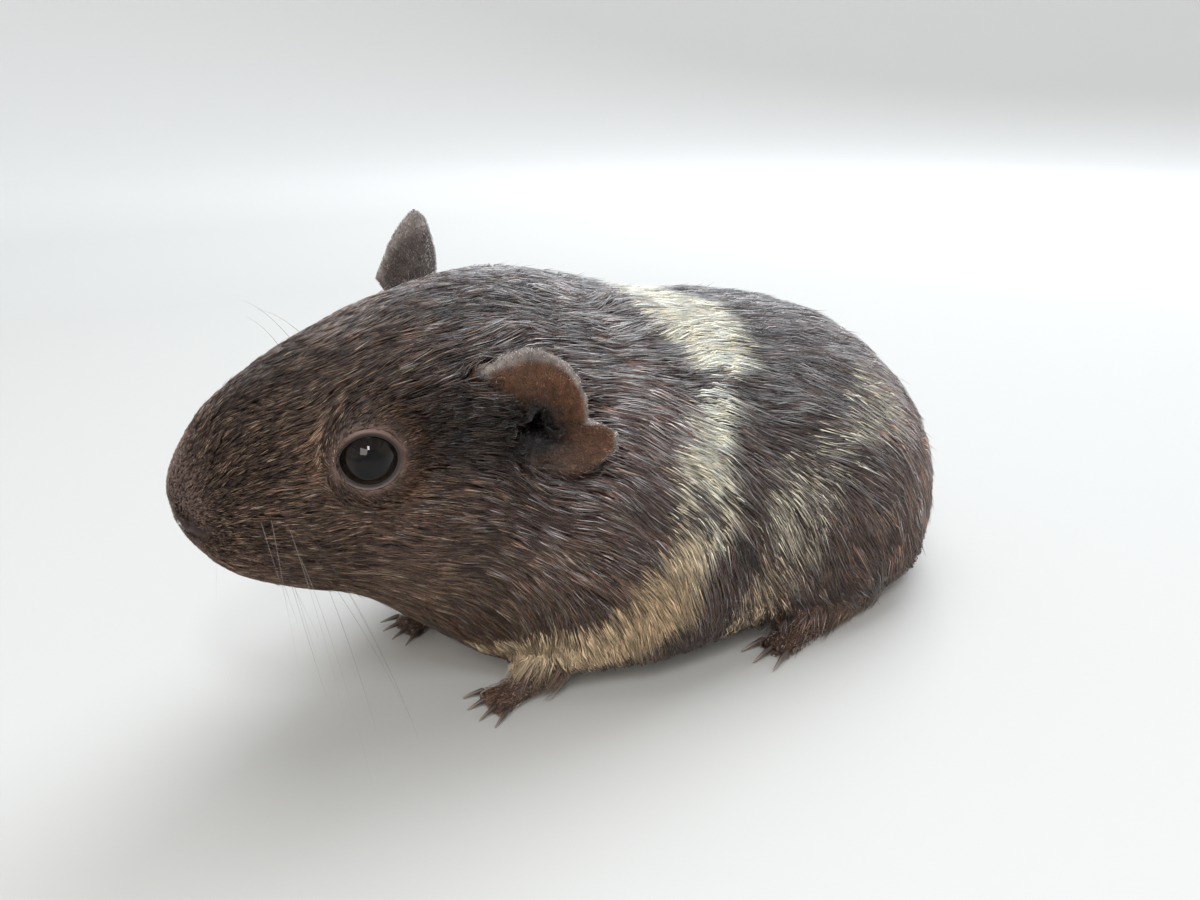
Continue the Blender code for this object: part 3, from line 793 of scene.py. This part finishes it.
def skin_shape():
    """Object of the skin, under the solids by the depth of the coat. The eyes get their gaze."""
    made = add("skin", flesh_mesh())
    remesh = made.modifiers.new("join", "REMESH")
    remesh.mode = "VOXEL"
    remesh.voxel_size = SKIN_VOXEL
    settle(made)
    mesh = made.data
    places = points_of(mesh)
    for eye in eyes:
        eye.look(places)
    ear_share = np.maximum.reduce([ear.share(places) for ear in ears])
    relax(mesh, 0.5 - 0.25 * ear_share, 8)
    places, normals = points_of(mesh), normals_of(mesh)
    move_to(mesh, places - normals * skin_depth(places, ear_share)[:, None])
    relax(mesh, 0.5 * (1.0 - ear_share) * smooth(points_of(mesh)[:, 0], -0.085, -0.06), 5)
    triangles = sum(len(face.vertices) - 2 for face in mesh.polygons)
    fewer = made.modifiers.new("fewer", "DECIMATE")
    fewer.ratio = min(1.0, (SKIN_TRIANGLES - LID_TRIANGLES) / triangles)
    settle(made)
    return made


def make_skin():
    """One skin over all the flesh, with lids, nostrils and mouth.

    Gives the places, normals and faces under the coat, and each place's share in both ears.
    """
    made = skin_shape()
    mesh = made.data
    places, normals = points_of(mesh), normals_of(mesh)
    ear_share = [ear.share(places, 1.2 * MM) for ear in ears]
    for share in ear_share:
        places = ear_details(places, normals, share)
    places, dark = nose_details(places, normals)
    # Painted shade in the nostrils, the cleft and the mouth
    colours = mix(skin_colours(places), HOLLOW_SHADE, dark)
    for ear, share in zip(ears, ear_share):
        # Bare skin round the ear's root and in its cup: ear skin darkened, as painted shade under
        # and inside the ear
        bowl = smooth(np.maximum(ear.close_by(places), ear.cup(places)), 0.35, 0.7)
        colours = mix(colours, np.array(EAR_SKIN) * 0.6, bowl)
        colours = mix(colours, ear_colours(places, normals, ear), share)
        # Painted shade: near black over the ear's canal
        above = (places - ear.canal) @ ear.out
        hole = ear.cup(places, 3.4, 6.6) * fade(above, 1.0 * MM, 3.5 * MM)
        colours = mix(colours, HOLLOW_SHADE, hole)
    mesh.calc_loop_triangles()
    faces = np.empty(len(mesh.loop_triangles) * 3, dtype=np.int32)
    mesh.loop_triangles.foreach_get("vertices", faces)
    faces = faces.reshape(-1, 3)
    made.data = painted_mesh("skin", [(places, faces, colours)] + [lid_mesh(eye) for eye in eyes])
    bpy.data.meshes.remove(mesh)
    made.data.materials.append(look_of("skin", SKIN_LOOK, SKIN_GRAIN))
    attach(made, "root")
    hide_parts(*FLESH)
    return places, normals, faces, ear_share


# ---- coat

def lie(points, normals, ear_share):
    """Unit directions in which the hair lies along the skin."""
    x, y, z = points.T / MM
    table = np.array(LIE_TABLE)
    shoulder, flank, haunch = (np.interp(-z, -table[:, 0], table[:, k]) for k in (1, 2, 3))
    fall = shoulder + (flank - shoulder) * smooth(x, -30.0, 0.0)
    fall = np.radians(fall + (haunch - fall) * smooth(x, 0.0, 35.0))
    splay = 0.12 * np.sign(y) * smooth(z, 40.0, 70.0)
    body = np.stack([np.cos(fall), splay, -np.sin(fall)], axis=1)
    face = unit(points - NOSE_SOURCE)
    flow = mix(face, unit(body), smooth(x, -72.0, -36.0))
    flow = mix(flow, (-1.0, 0.0, -0.3), foot_share(points))
    flow = along_skin(flow, normals)
    for eye in eyes:
        away = points - eye.centre
        reach = lengths(away)
        outward = along_skin(away, normals)
        towards = np.minimum((flow * outward).sum(1), 0.0)
        near = fade(reach, 7.0 * MM, 13.0 * MM)
        flow = flow + outward * (near * (0.2 - towards))[:, None]
    for ear, share in zip(ears, ear_share):
        root = ear.centre - ear.out * 2.0 * MM + np.array((-0.004, 0.0, -0.004))
        flow = mix(along_skin(flow, normals), along_skin(points - root, normals), share)
    flow = along_skin(flow, normals)
    swirl = 0.18 * waves(points, 24 * MM, 11) + 0.12 * waves(points, 8 * MM, 12)
    swirl += 0.08 * waves(points, 3.0 * MM, 13) + 0.35 * ruffle(points) * waves(points, 9 * MM, 14)
    return turned(flow, normals, swirl)


def ruffle(points):
    """How far the coat stands up in a crest over the nape, from 0 to 1."""
    x, _, z = points.T / MM
    return bell(x + 20.0, 17.0) * smooth(z, 62.0, 76.0)


def beside_eye(points):
    """Distance of each place from the nearer eye's line of gaze, in mm."""
    return np.minimum(*(eye.beside(points) for eye in eyes))


def scatter(base, rng):
    """Roots of the tufts: places, normals and how far each is on an ear."""
    places, normals, faces, ear_share = base
    corners = places[faces]
    middle = corners.mean(axis=1)
    sides = corners[:, 1:] - corners[:, :1]
    area = lengths(np.cross(sides[:, 0], sides[:, 1])) / 2
    density = coat_value(middle, DENSITY)
    facing = normals[faces].mean(axis=1)
    under = smooth(-facing[:, 2], 0.55, 0.95) * fade(middle[:, 2], 10 * MM, 22 * MM)
    density = density * (1.0 - 0.7 * under) * (1.0 + 1.2 * foot_share(middle))
    on_ear = [share[faces].mean(axis=1) for share in ear_share]
    for ear, share in zip(ears, on_ear):
        hidden = smooth(np.maximum(ear.close_by(middle), ear.cup(middle, 3.6, 6.0)), 0.4, 0.7)
        density = density * (1.0 - share) * (1.0 - hidden) + EAR_DENSITY * share
    beside = beside_eye(middle)
    density = np.where(beside < BARE_RING, 0.0, density * (0.6 + 0.4 * smooth(beside, 5.5, 8.0)))
    density *= 1.0 + 0.6 * nose_share(middle)
    density = np.where(nostril_slit(middle) < NOSTRIL_BARE, 0.0, density)
    weight = area * density
    picked = rng.choice(len(faces), TUFTS, p=weight / weight.sum())
    picked.sort()
    a, b = rng.random(TUFTS), rng.random(TUFTS)
    flip = a + b > 1.0
    a, b = np.where(flip, 1.0 - a, a), np.where(flip, 1.0 - b, b)
    shares = np.stack([1.0 - a - b, a, b], axis=1)[:, :, None]
    roots = (corners[picked] * shares).sum(axis=1)
    up = unit((normals[faces[picked]] * shares).sum(axis=1))
    ears_at = [share[picked] for share in on_ear]
    return roots, up, ears_at


def stepped(tree, normals_at, points, headings, reach):
    """Points carried along the skin by their reach, with the skin's normals there."""
    target = points + headings * reach[:, None]
    found = np.empty_like(points)
    facing = np.empty_like(points)
    for i, spot in enumerate(target.tolist()):
        where, _, face, _ = tree.find_nearest(spot)
        found[i] = where
        facing[i] = normals_at[face]
    return found, facing


def tuft_sizes(roots, on_ear, rng):
    """Length, half width and depth of the coat at each tuft, in mm."""
    count = len(roots)
    feet = foot_share(roots)
    ear = np.clip(sum(on_ear), 0.0, 1.0)
    near = fade(beside_eye(roots), BARE_RING, 11.0)
    x, _, z = roots.T / MM
    low_face = fade(x, -50.0, -30.0) * fade(z, 30.0, 50.0)
    length = coat_value(roots, LENGTH) * (1.0 + 0.35 * low_face) * (1.0 - 0.78 * near)
    length = length * (1.0 - feet) + FOOT_HAIR * feet
    length = length * (1.0 - ear) + EAR_HAIR * ear
    for each, share in zip(ears, on_ear):
        length *= 1.0 - 0.6 * each.close_by(roots) * (1.0 - share)
        length *= 1.0 - 0.7 * each.cup(roots, 4.5, 9.5) * (1.0 - share)
    length *= 0.30 + 0.70 * smooth(nostril_slit(roots), 1.0, 5.0)
    length *= 1.0 - 0.55 * nose_share(roots)
    length *= rng.uniform(0.65, 1.2, count)
    wide = coat_value(roots, HALF_WIDTH) * (1.0 - 0.5 * ear) * (1.0 - 0.35 * feet)
    wide *= 1.0 - 0.3 * near
    wide *= rng.uniform(0.6, 1.3, count)
    depth = skin_depth(roots, ear) / MM + 0.2
    depth = depth * (1.0 - ear) + 0.28 * ear
    return length, wide, depth


def leaders_of(roots, rng):
    """Number of the lock that each tuft belongs to, and the tuft that leads the lock."""
    leaders = np.sort(rng.choice(len(roots), len(roots) // CLUMP, replace=False))
    finder = KDTree(len(leaders))
    for k, spot in enumerate(roots[leaders].tolist()):
        finder.insert(spot, k)
    finder.balance()
    lock = np.array([finder.find(spot)[1] for spot in roots.tolist()])
    return lock, leaders[lock]


def tuft_paths(base, roots, up, on_ear, sizes, lock, leader, rng):
    """Root, middle and tip of each tuft, and the skin's normal under its middle."""
    places, normals, faces, _ = base
    length, _, depth = sizes
    count, locks = len(roots), lock.max() + 1
    tree = BVHTree.FromPolygons(places.tolist(), faces.tolist())
    normals_at = unit(normals[faces].mean(axis=1))
    reach = length * MM
    heading = lie(roots, up, on_ear)
    turn = rng.normal(0.0, 0.10, count) + rng.normal(0.0, 0.11, locks)[lock]
    heading = turned(heading, up, turn)
    middle, middle_up = stepped(tree, normals_at, roots, heading, reach * 0.45)
    onward = unit(lie(middle, middle_up, on_ear) + 0.5 * along_skin(heading, middle_up))
    tip, tip_up = stepped(tree, normals_at, middle, onward, reach * 0.55)
    rise = rng.uniform(0.5, 1.05, count) * 0.5 + rng.uniform(0.5, 1.05, locks)[lock] * 0.5
    rise *= 1.0 + 0.55 * ruffle(roots)
    stray = rng.random(count) < 0.03
    lift = np.where(stray, rng.uniform(1.15, 1.6, count), rng.uniform(0.9, 1.08, count))
    path = [
        roots - up * (0.2 * MM),
        middle + middle_up * (depth * 0.84 * rise * MM)[:, None],
        tip + tip_up * (depth * 0.95 * rise * lift * MM)[:, None],
    ]
    apart = lengths(roots - roots[leader])
    pull = np.where(apart < reach * 0.5, 1.0, 0.0) * rng.uniform(0.1, 0.6, count)
    path[1] = path[1] + (path[1][leader] - path[1]) * (0.15 * pull)[:, None]
    path[2] = path[2] + (path[2][leader] - path[2]) * (0.8 * pull)[:, None]
    for point in path:
        point[:, 2] = np.maximum(point[:, 2], TUFT_FLOOR)
    return path, middle_up


def tuft_solids(path, middle_up, wide):
    """Corners of each tuft: its root, a ring of three at its middle, and its tip."""
    across = unit(np.cross(middle_up, unit(path[2] - path[0])))
    corners = np.empty((len(wide), 5, 3))
    corners[:, 0] = path[0]
    for k, (sideways, rise) in enumerate(((-1.0, -0.3), (1.0, -0.3), (0.0, 0.6))):
        spread = across * (wide * sideways * MM)[:, None] + middle_up * (wide * rise * MM)[:, None]
        corners[:, 1 + k] = path[1] + spread
    corners[:, 4] = path[2]
    return corners


def unwrap(points, ear_share):
    """Place of each root on an unrolled skin: round the body and along it, in 0 to 1.

    Feet and ears have squares of their own in the strip under it.
    """
    low, high = (np.array(corner) for corner in FRAME_BOX)
    share = (points[:, 0] - low[0]) / (high[0] - low[0])
    axis_z = 20 * MM + 32 * MM * fade(share, 0.0, 0.45)
    angle = np.arctan2(points[:, 1], points[:, 2] - axis_z) / math.tau + 0.5
    u = 0.01 + 0.98 * angle
    v = 0.15 + 0.84 * share
    feet = foot_share(points) > 0.5
    square = 0.11
    right, rear = points[:, 1] > 0.0, points[:, 0] > 0.0
    strip = [
        feet & (right == side) & (rear == back)
        for side in (False, True) for back in (False, True)
    ]
    for ear, at in zip(ears, ear_share):
        inner = (points - ear.centre) @ ear.out > 0.0
        strip += [(at > 0.5) & inner, (at > 0.5) & ~inner]
    for k, members in enumerate(strip):
        if members.any():
            flat = points[members][:, (0, 1)] if k < 4 else points[members][:, (0, 2)]
            flat = (flat - flat.min(axis=0)) / np.ptp(flat, axis=0).max()
            u[members] = 0.01 + 0.12 * k + square * flat[:, 0]
            v[members] = 0.01 + square * flat[:, 1]
    return u, v


def tuft_colours(seen, ear_share, facing, lock, rng):
    """Root, middle and tip colours of each tuft, for the place where it shows."""
    count, locks = len(seen), lock.max() + 1
    light, golden, brindle = markings(seen)
    own, shared = rng.random(count), rng.random(locks)[lock]
    chance = np.where(brindle, 0.8 * own + 0.2 * shared, 0.45 * own + 0.55 * shared)
    pale = chance < light
    free = ~pale
    frost_and_sheen = (rng.random(count) < frost_and_sheen_share(seen, facing)) & free
    tan = (rng.random(count) < tan_share(seen)) & free & ~frost_and_sheen
    rust = (rng.random(count) < warm_share(seen)) & free
    shade = np.exp(rng.normal(0.0, 0.46, count) + rng.normal(0.0, 0.30, locks)[lock])
    shade = np.where(pale, shade**0.5, shade * shading(seen)) * np.where(pale & brindle, 0.78, 1.0)
    glint = np.where(free & (rng.random(count) < 0.08), 2.6, 1.0)
    velvet = nose_share(seen) * (0.95 - 0.45 * fade(seen[:, 2], 50 * MM, 54 * MM))
    shade, glint = shade ** (1.0 - 0.6 * velvet), glint ** (1.0 - velvet)
    sets = []
    for level in range(3):
        colour = np.tile(DARK[level], (count, 1))
        colour[frost_and_sheen] = FROST_AND_SHEEN[level]
        colour[tan] = TAN[level]
        colour[rust] = RUST[level]
        colour[pale] = mix(CREAM[level], GOLD[level], golden)[pale]
        colour = mix(colour, NOSE_HAIR[level], velvet)
        for share, ear in zip(ear_share, ears):
            inner = facing @ ear.out > 0.0
            leaf = np.where(inner[:, None], np.array(EAR_SKIN) * 1.1, np.array(EAR_BACK) * 1.5)
            # ear.shade: painted shade towards the canal, and a darker lobe
            leaf = mix(leaf, EAR_RIM, ear.rim(seen)) * ear.shade(seen)[:, None]
            colour = mix(colour, leaf, share * 0.95)
        colour = colour * (shade * (glint if level == 2 else 1.0))[:, None]
        sets.append(np.clip(colour, 0.0, 0.95))
    return sets


def tuft_maps():
    """Faces of a tuft and the place of their corners on its patch of the map, -0.5 to 0.5."""
    faces, places = [], []
    for k in range(3):
        n = (k + 1) % 3
        left, right = k / 3.0, (k + 1) / 3.0
        middle = (left + right) / 2
        faces += [(0, 1 + n, 1 + k), (1 + k, 1 + n, 4)]
        places += [(middle, 0.0), (right, 0.5), (left, 0.5)]
        places += [(left, 0.5), (right, 0.5), (middle, 1.0)]
    return np.array(faces), np.array(places) - 0.5


def make_coat(base):
    """Tufts over the whole skin, dealt into pieces from the nose to the rump."""
    rng = np.random.default_rng(COAT_SEED)
    roots, up, on_ear = scatter(base, rng)
    sizes = tuft_sizes(roots, on_ear, rng)
    lock, leader = leaders_of(roots, rng)
    path, middle_up = tuft_paths(base, roots, up, on_ear, sizes, lock, leader, rng)
    corners = tuft_solids(path, middle_up, sizes[1])
    u, v = unwrap(roots, on_ear)
    seen = path[1] + (path[2] - path[1]) * 0.35
    colours = tuft_colours(seen, on_ear, up, lock, rng)
    painted = np.stack([colours[level] for level in (0, 1, 1, 1, 2)], axis=1)
    one, patch = tuft_maps()
    order = np.argsort(roots[:, 0], kind="stable")
    for (name, gloss), members in zip(PIECES, np.array_split(order, len(PIECES))):
        amount = len(members)
        faces = (one[None] + 5 * np.arange(amount)[:, None, None]).reshape(-1, 3)
        solids = (corners[members].reshape(-1, 3), faces, painted[members].reshape(-1, 3))
        mesh = painted_mesh(f"coat_{name}", [solids])
        layer = mesh.uv_layers.new(name="OFBake")
        uv = np.empty((amount, len(patch), 2), dtype=np.float32)
        uv[:, :, 0] = u[members][:, None] + PATCH * patch[:, 0]
        uv[:, :, 1] = v[members][:, None] + PATCH * patch[:, 1]
        layer.data.foreach_set("uv", uv.ravel())
        look = look_of(f"coat {name}", {"Roughness": HAIR_ROUGHNESS, "Specular IOR Level": gloss})
        place(f"coat_{name}", mesh, look)


# ---- looks

def look_of(name, values, grain=None):
    """Material in the mesh's own colours, with the values and the grain of its surface."""
    made = bpy.data.materials.new(name)
    made.use_nodes = True
    nodes, links = made.node_tree.nodes, made.node_tree.links
    shader = nodes["Principled BSDF"]
    for key, value in values.items():
        shader.inputs[key].default_value = value
    colour = nodes.new("ShaderNodeAttribute")
    colour.attribute_name = COLOUR_LAYER
    links.new(colour.outputs["Color"], shader.inputs["Base Color"])
    if grain:
        size, strength, depth = grain
        noise = nodes.new("ShaderNodeTexNoise")
        noise.inputs["Scale"].default_value = 1.0 / size
        noise.inputs["Detail"].default_value = 3.0
        where = nodes.new("ShaderNodeTexCoord")
        links.new(where.outputs["Object"], noise.inputs["Vector"])
        bump = nodes.new("ShaderNodeBump")
        bump.inputs["Strength"].default_value = strength
        bump.inputs["Distance"].default_value = depth
        links.new(noise.outputs["Fac"], bump.inputs["Height"])
        links.new(bump.outputs["Normal"], shader.inputs["Normal"])
    return made


# ---- eyes, claws, whiskers

def eye_colour(tilt, angle):
    """Colour of the eyeball at an angle from the gaze: pupil, streaked iris and edge."""
    streak = 0.75 + 0.25 * math.sin(angle * 23.0 + 2.0 * math.sin(angle * 5.0))
    iris = float(smooth(tilt, math.radians(27), math.radians(31)))
    edge = float(smooth(tilt, math.radians(46), math.radians(54)))
    colour = np.array(PUPIL) * (1.0 - iris)
    colour = colour + np.array(IRIS) * streak * iris * (1.0 - edge)
    return colour + np.array(EYE_EDGE) * edge


def make_eye(eye, look):
    """Eyeball with a clear dome, a dark iris and a black pupil."""
    around, rings = 72, 44
    places, colours, faces = [], [], []
    for j in range(rings + 1):
        tilt = math.pi * j / rings
        dome = 0.22 * MM * math.exp(-((tilt / math.radians(34.0)) ** 4))
        for i in range(around):
            angle = math.tau * i / around
            turn = math.cos(angle) * eye.forward + math.sin(angle) * eye.up
            direction = math.cos(tilt) * eye.gaze + math.sin(tilt) * turn
            places.append(eye.centre + direction * (eye.radius - 0.1 * MM + dome))
            colours.append(eye_colour(tilt, angle))
    for j in range(rings):
        for i in range(around):
            a, b = j * around + i, j * around + (i + 1) % around
            if j > 0:
                faces.append((a, a + around, b))
            if j < rings - 1:
                faces.append((b, a + around, b + around))
    name = f"eyeball_{eye.name}"
    mesh = painted_mesh(name, [(np.array(places), np.array(faces), np.array(colours))])
    bm = welded(mesh)
    bmesh.ops.recalc_face_normals(bm, faces=bm.faces)
    bm.to_mesh(mesh)
    bm.free()
    made = place(name, mesh, look)
    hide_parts(f"eye_{eye.name}")


def make_claw(node, look):
    """Claw of its solid's shape, rounded, with a paler tip."""
    name = node.replace("claw_", "nail_")
    mesh = bpy.data.meshes.new(name)
    bm = welded(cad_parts[node].data)
    bm.to_mesh(mesh)
    bm.free()
    made = place(name, mesh, look)
    rounder = made.modifiers.new("round", "SUBSURF")
    rounder.levels = rounder.render_levels = 2
    settle(made)
    made.data.shade_smooth()
    places = points_of(made.data)
    along = (places[:, 0].max() - places[:, 0]) / np.ptp(places[:, 0])
    paint(made.data, mix(CLAW_ROOT, CLAW_TIP, smooth(along, 0.3, 1.0)))
    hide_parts(node)


def hair_tube(start, heading, length, droop, radius, colour, rng):
    """Long tapered hair that curves down under its own weight: places, faces, colours."""
    segments, sides = 14, 5
    heading = np.array(heading) / np.linalg.norm(heading)
    sideways = np.cross(heading, (0.0, 0.0, 1.0))
    sideways /= np.linalg.norm(sideways)
    upwards = np.cross(heading, sideways)
    bend = rng.normal(0.0, 0.05)
    places, colours, faces = [], [], []
    for i in range(segments + 1):
        t = i / segments
        point = np.array(start) + heading * length * t + sideways * bend * length * t * t
        point = point + np.array((0.0, 0.0, -droop)) * length * t * t
        point[2] = max(point[2], WHISKER_FLOOR)
        thick = radius * (1.0 - 0.85 * t)
        for k in range(sides):
            angle = math.tau * k / sides
            places.append(point + thick * (math.cos(angle) * sideways + math.sin(angle) * upwards))
            colours.append(np.array(colour) * (0.55 + 0.45 * min(1.0, t * 4.0)))
    for i in range(segments):
        for k in range(sides):
            a, b = i * sides + k, i * sides + (k + 1) % sides
            faces += [(a, b, b + sides), (a, b + sides, a + sides)]
    top = segments * sides
    for k in range(1, sides - 1):
        faces += [(0, k + 1, k), (top, top + k, top + k + 1)]
    return np.array(places), np.array(faces), np.array(colours)


def root_under(tree, spot):
    """Root of a long hair, half a millimetre under the skin nearest to a place."""
    where, normal, _, _ = tree.find_nearest(Vector(spot))
    return np.array(where) - np.array(normal) * 0.5 * MM


def make_whiskers(tree, look):
    """Whiskers on both sides of the muzzle, and a few hairs over each eye."""
    rng = np.random.default_rng(WHISKER_SEED)
    for (name, side), eye in zip(SIDES, eyes):
        hairs = []
        for row in range(3):
            for k in range(4):
                root = root_under(tree, (
                    (NOSE_TIP + 6.5 + 2.4 * k + 0.5 * row) * MM, 22 * MM * side,
                    (52.5 - 4.0 * row - 0.6 * k) * MM,
                ))
                heading = np.array((0.30 - 0.30 * (3 - k) / 3, side * 0.50, -0.60 - 0.16 * row))
                heading += rng.normal(0.0, 0.17, 3)
                length = (15.0 + 5.0 * k + rng.uniform(-5.0, 6.0)) * MM
                colour = WHISKER_PALE if rng.random() < 0.6 else WHISKER_DARK
                droop = rng.uniform(0.15, 0.6)
                hairs.append(hair_tube(root, heading, length, droop, 0.032 * MM, colour, rng))
        for k in range(3):
            spot = eye.centre + eye.up * (7.5 + k) * MM + eye.forward * (3.0 - 2.5 * k) * MM
            heading = np.array((-0.5, side * 0.45, 0.75)) + rng.normal(0.0, 0.12, 3)
            length = rng.uniform(11.0, 19.0) * MM
            root = root_under(tree, spot)
            hairs.append(hair_tube(root, heading, length, 0.35, 0.04 * MM, BROW_HAIR, rng))
        mesh = painted_mesh(f"whiskers_{name}", hairs)
        place(f"whiskers_{name}", mesh, look)


# ---- studio

def make_floor():
    """Pale floor that curves up far behind into a wall, painted paler with distance as painted
    light where the lamps' light falls off.
    """
    around, bends = 96, 16
    profile = [(0.4, 0.0), (0.7, 0.0), (1.0, 0.0)]
    for k in range(bends + 1):
        angle = math.pi / 2 * k / bends
        out = FLOOR_FLAT + FLOOR_CURVE * math.sin(angle)
        profile.append((out, FLOOR_CURVE * (1.0 - math.cos(angle))))
    profile.append((FLOOR_FLAT + FLOOR_CURVE, FLOOR_RIM))
    turns = [math.tau * i / around for i in range(around)]
    bm = bmesh.new()
    rings = [[bm.verts.new((0.0, 0.0, 0.0))] * around]
    for radius, height in profile:
        rings.append([
            bm.verts.new((radius * math.cos(turn), radius * math.sin(turn), height))
            for turn in turns
        ])
    for inner, outer in zip(rings, rings[1:]):
        for i in range(around):
            n = (i + 1) % around
            corners = [inner[i], outer[i], outer[n]] + ([inner[n]] if inner[n] != inner[i] else [])
            bm.faces.new(corners).smooth = True
    mesh = bpy.data.meshes.new("floor")
    bm.to_mesh(mesh)
    bm.free()
    paler = smooth(lengths(points_of(mesh)[:, :2]), *FLOOR_PALER)
    paint(mesh, mix(FLOOR_NEAR, FLOOR_FAR, paler))
    mesh.materials.append(look_of("floor", FLOOR_LOOK))
    add("floor", mesh)


def make_lights():
    """Soft light from above: a pale sky, a large soft lamp and three panels."""
    world = bpy.data.worlds.new("studio")
    world.use_nodes = True
    background = world.node_tree.nodes["Background"]
    background.inputs["Color"].default_value = SKY_COLOUR
    background.inputs["Strength"].default_value = SKY_STRENGTH
    bpy.context.scene.world = world
    lamp = bpy.data.lights.new("overhead", "POINT")
    spot, lamp.shadow_soft_size, lamp.energy, lamp.color = OVERHEAD
    add("overhead", lamp, spot).visible_camera = False
    for name, spot, size, power, colour in PANELS:
        panel = bpy.data.lights.new(name, "AREA")
        panel.shape = "RECTANGLE"
        panel.size, panel.size_y = size
        panel.energy, panel.color = power, colour
        facing = (Vector(PANELS_FACE) - Vector(spot)).to_track_quat("-Z", "Y")
        add(name, panel, spot).rotation_euler = facing.to_euler()


def make_camera():
    """Camera in front of the animal's left side, and plain colours in the picture."""
    data = bpy.data.cameras.new("camera")
    data.lens = CAMERA_LENS
    data.sensor_width = 36.0
    data.clip_start = 0.01
    camera = add("camera", data, CAMERA_PLACE)
    camera.rotation_euler = (math.pi / 2 - CAMERA_DOWN, 0.0, CAMERA_TURN)
    bpy.context.scene.camera = camera
    bpy.context.scene.view_settings.view_transform = "Standard"


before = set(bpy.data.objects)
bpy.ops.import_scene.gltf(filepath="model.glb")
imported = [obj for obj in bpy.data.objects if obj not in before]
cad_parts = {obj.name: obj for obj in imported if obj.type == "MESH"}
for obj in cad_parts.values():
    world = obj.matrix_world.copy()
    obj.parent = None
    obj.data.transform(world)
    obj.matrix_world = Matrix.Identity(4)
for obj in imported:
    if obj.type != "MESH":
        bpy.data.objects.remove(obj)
FRAME_BOX = [list(corner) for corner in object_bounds()]
FLESH = ["head", "neck", "trunk"]
FLESH += [f"{part}_{side}" for part in ("foreleg", "hindleg", "ear") for side, _ in SIDES]
NOSE_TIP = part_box("head")[0][0] / MM

make_floor()
make_lights()
make_camera()
eyes = [Eye(name) for name, _ in SIDES]
ears = [Ear(name) for name, _ in SIDES]
skin = make_skin()
make_coat(skin)
eye_material = look_of("eye", EYE_LOOK)
for each in eyes:
    make_eye(each, eye_material)
claw_material = look_of("claw", CLAW_LOOK, CLAW_GRAIN)
for node_name in sorted(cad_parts):
    if node_name.startswith("claw_"):
        make_claw(node_name, claw_material)
skin_tree = BVHTree.FromPolygons(skin[0].tolist(), skin[2].tolist())
make_whiskers(skin_tree, look_of("whisker", WHISKER_LOOK))
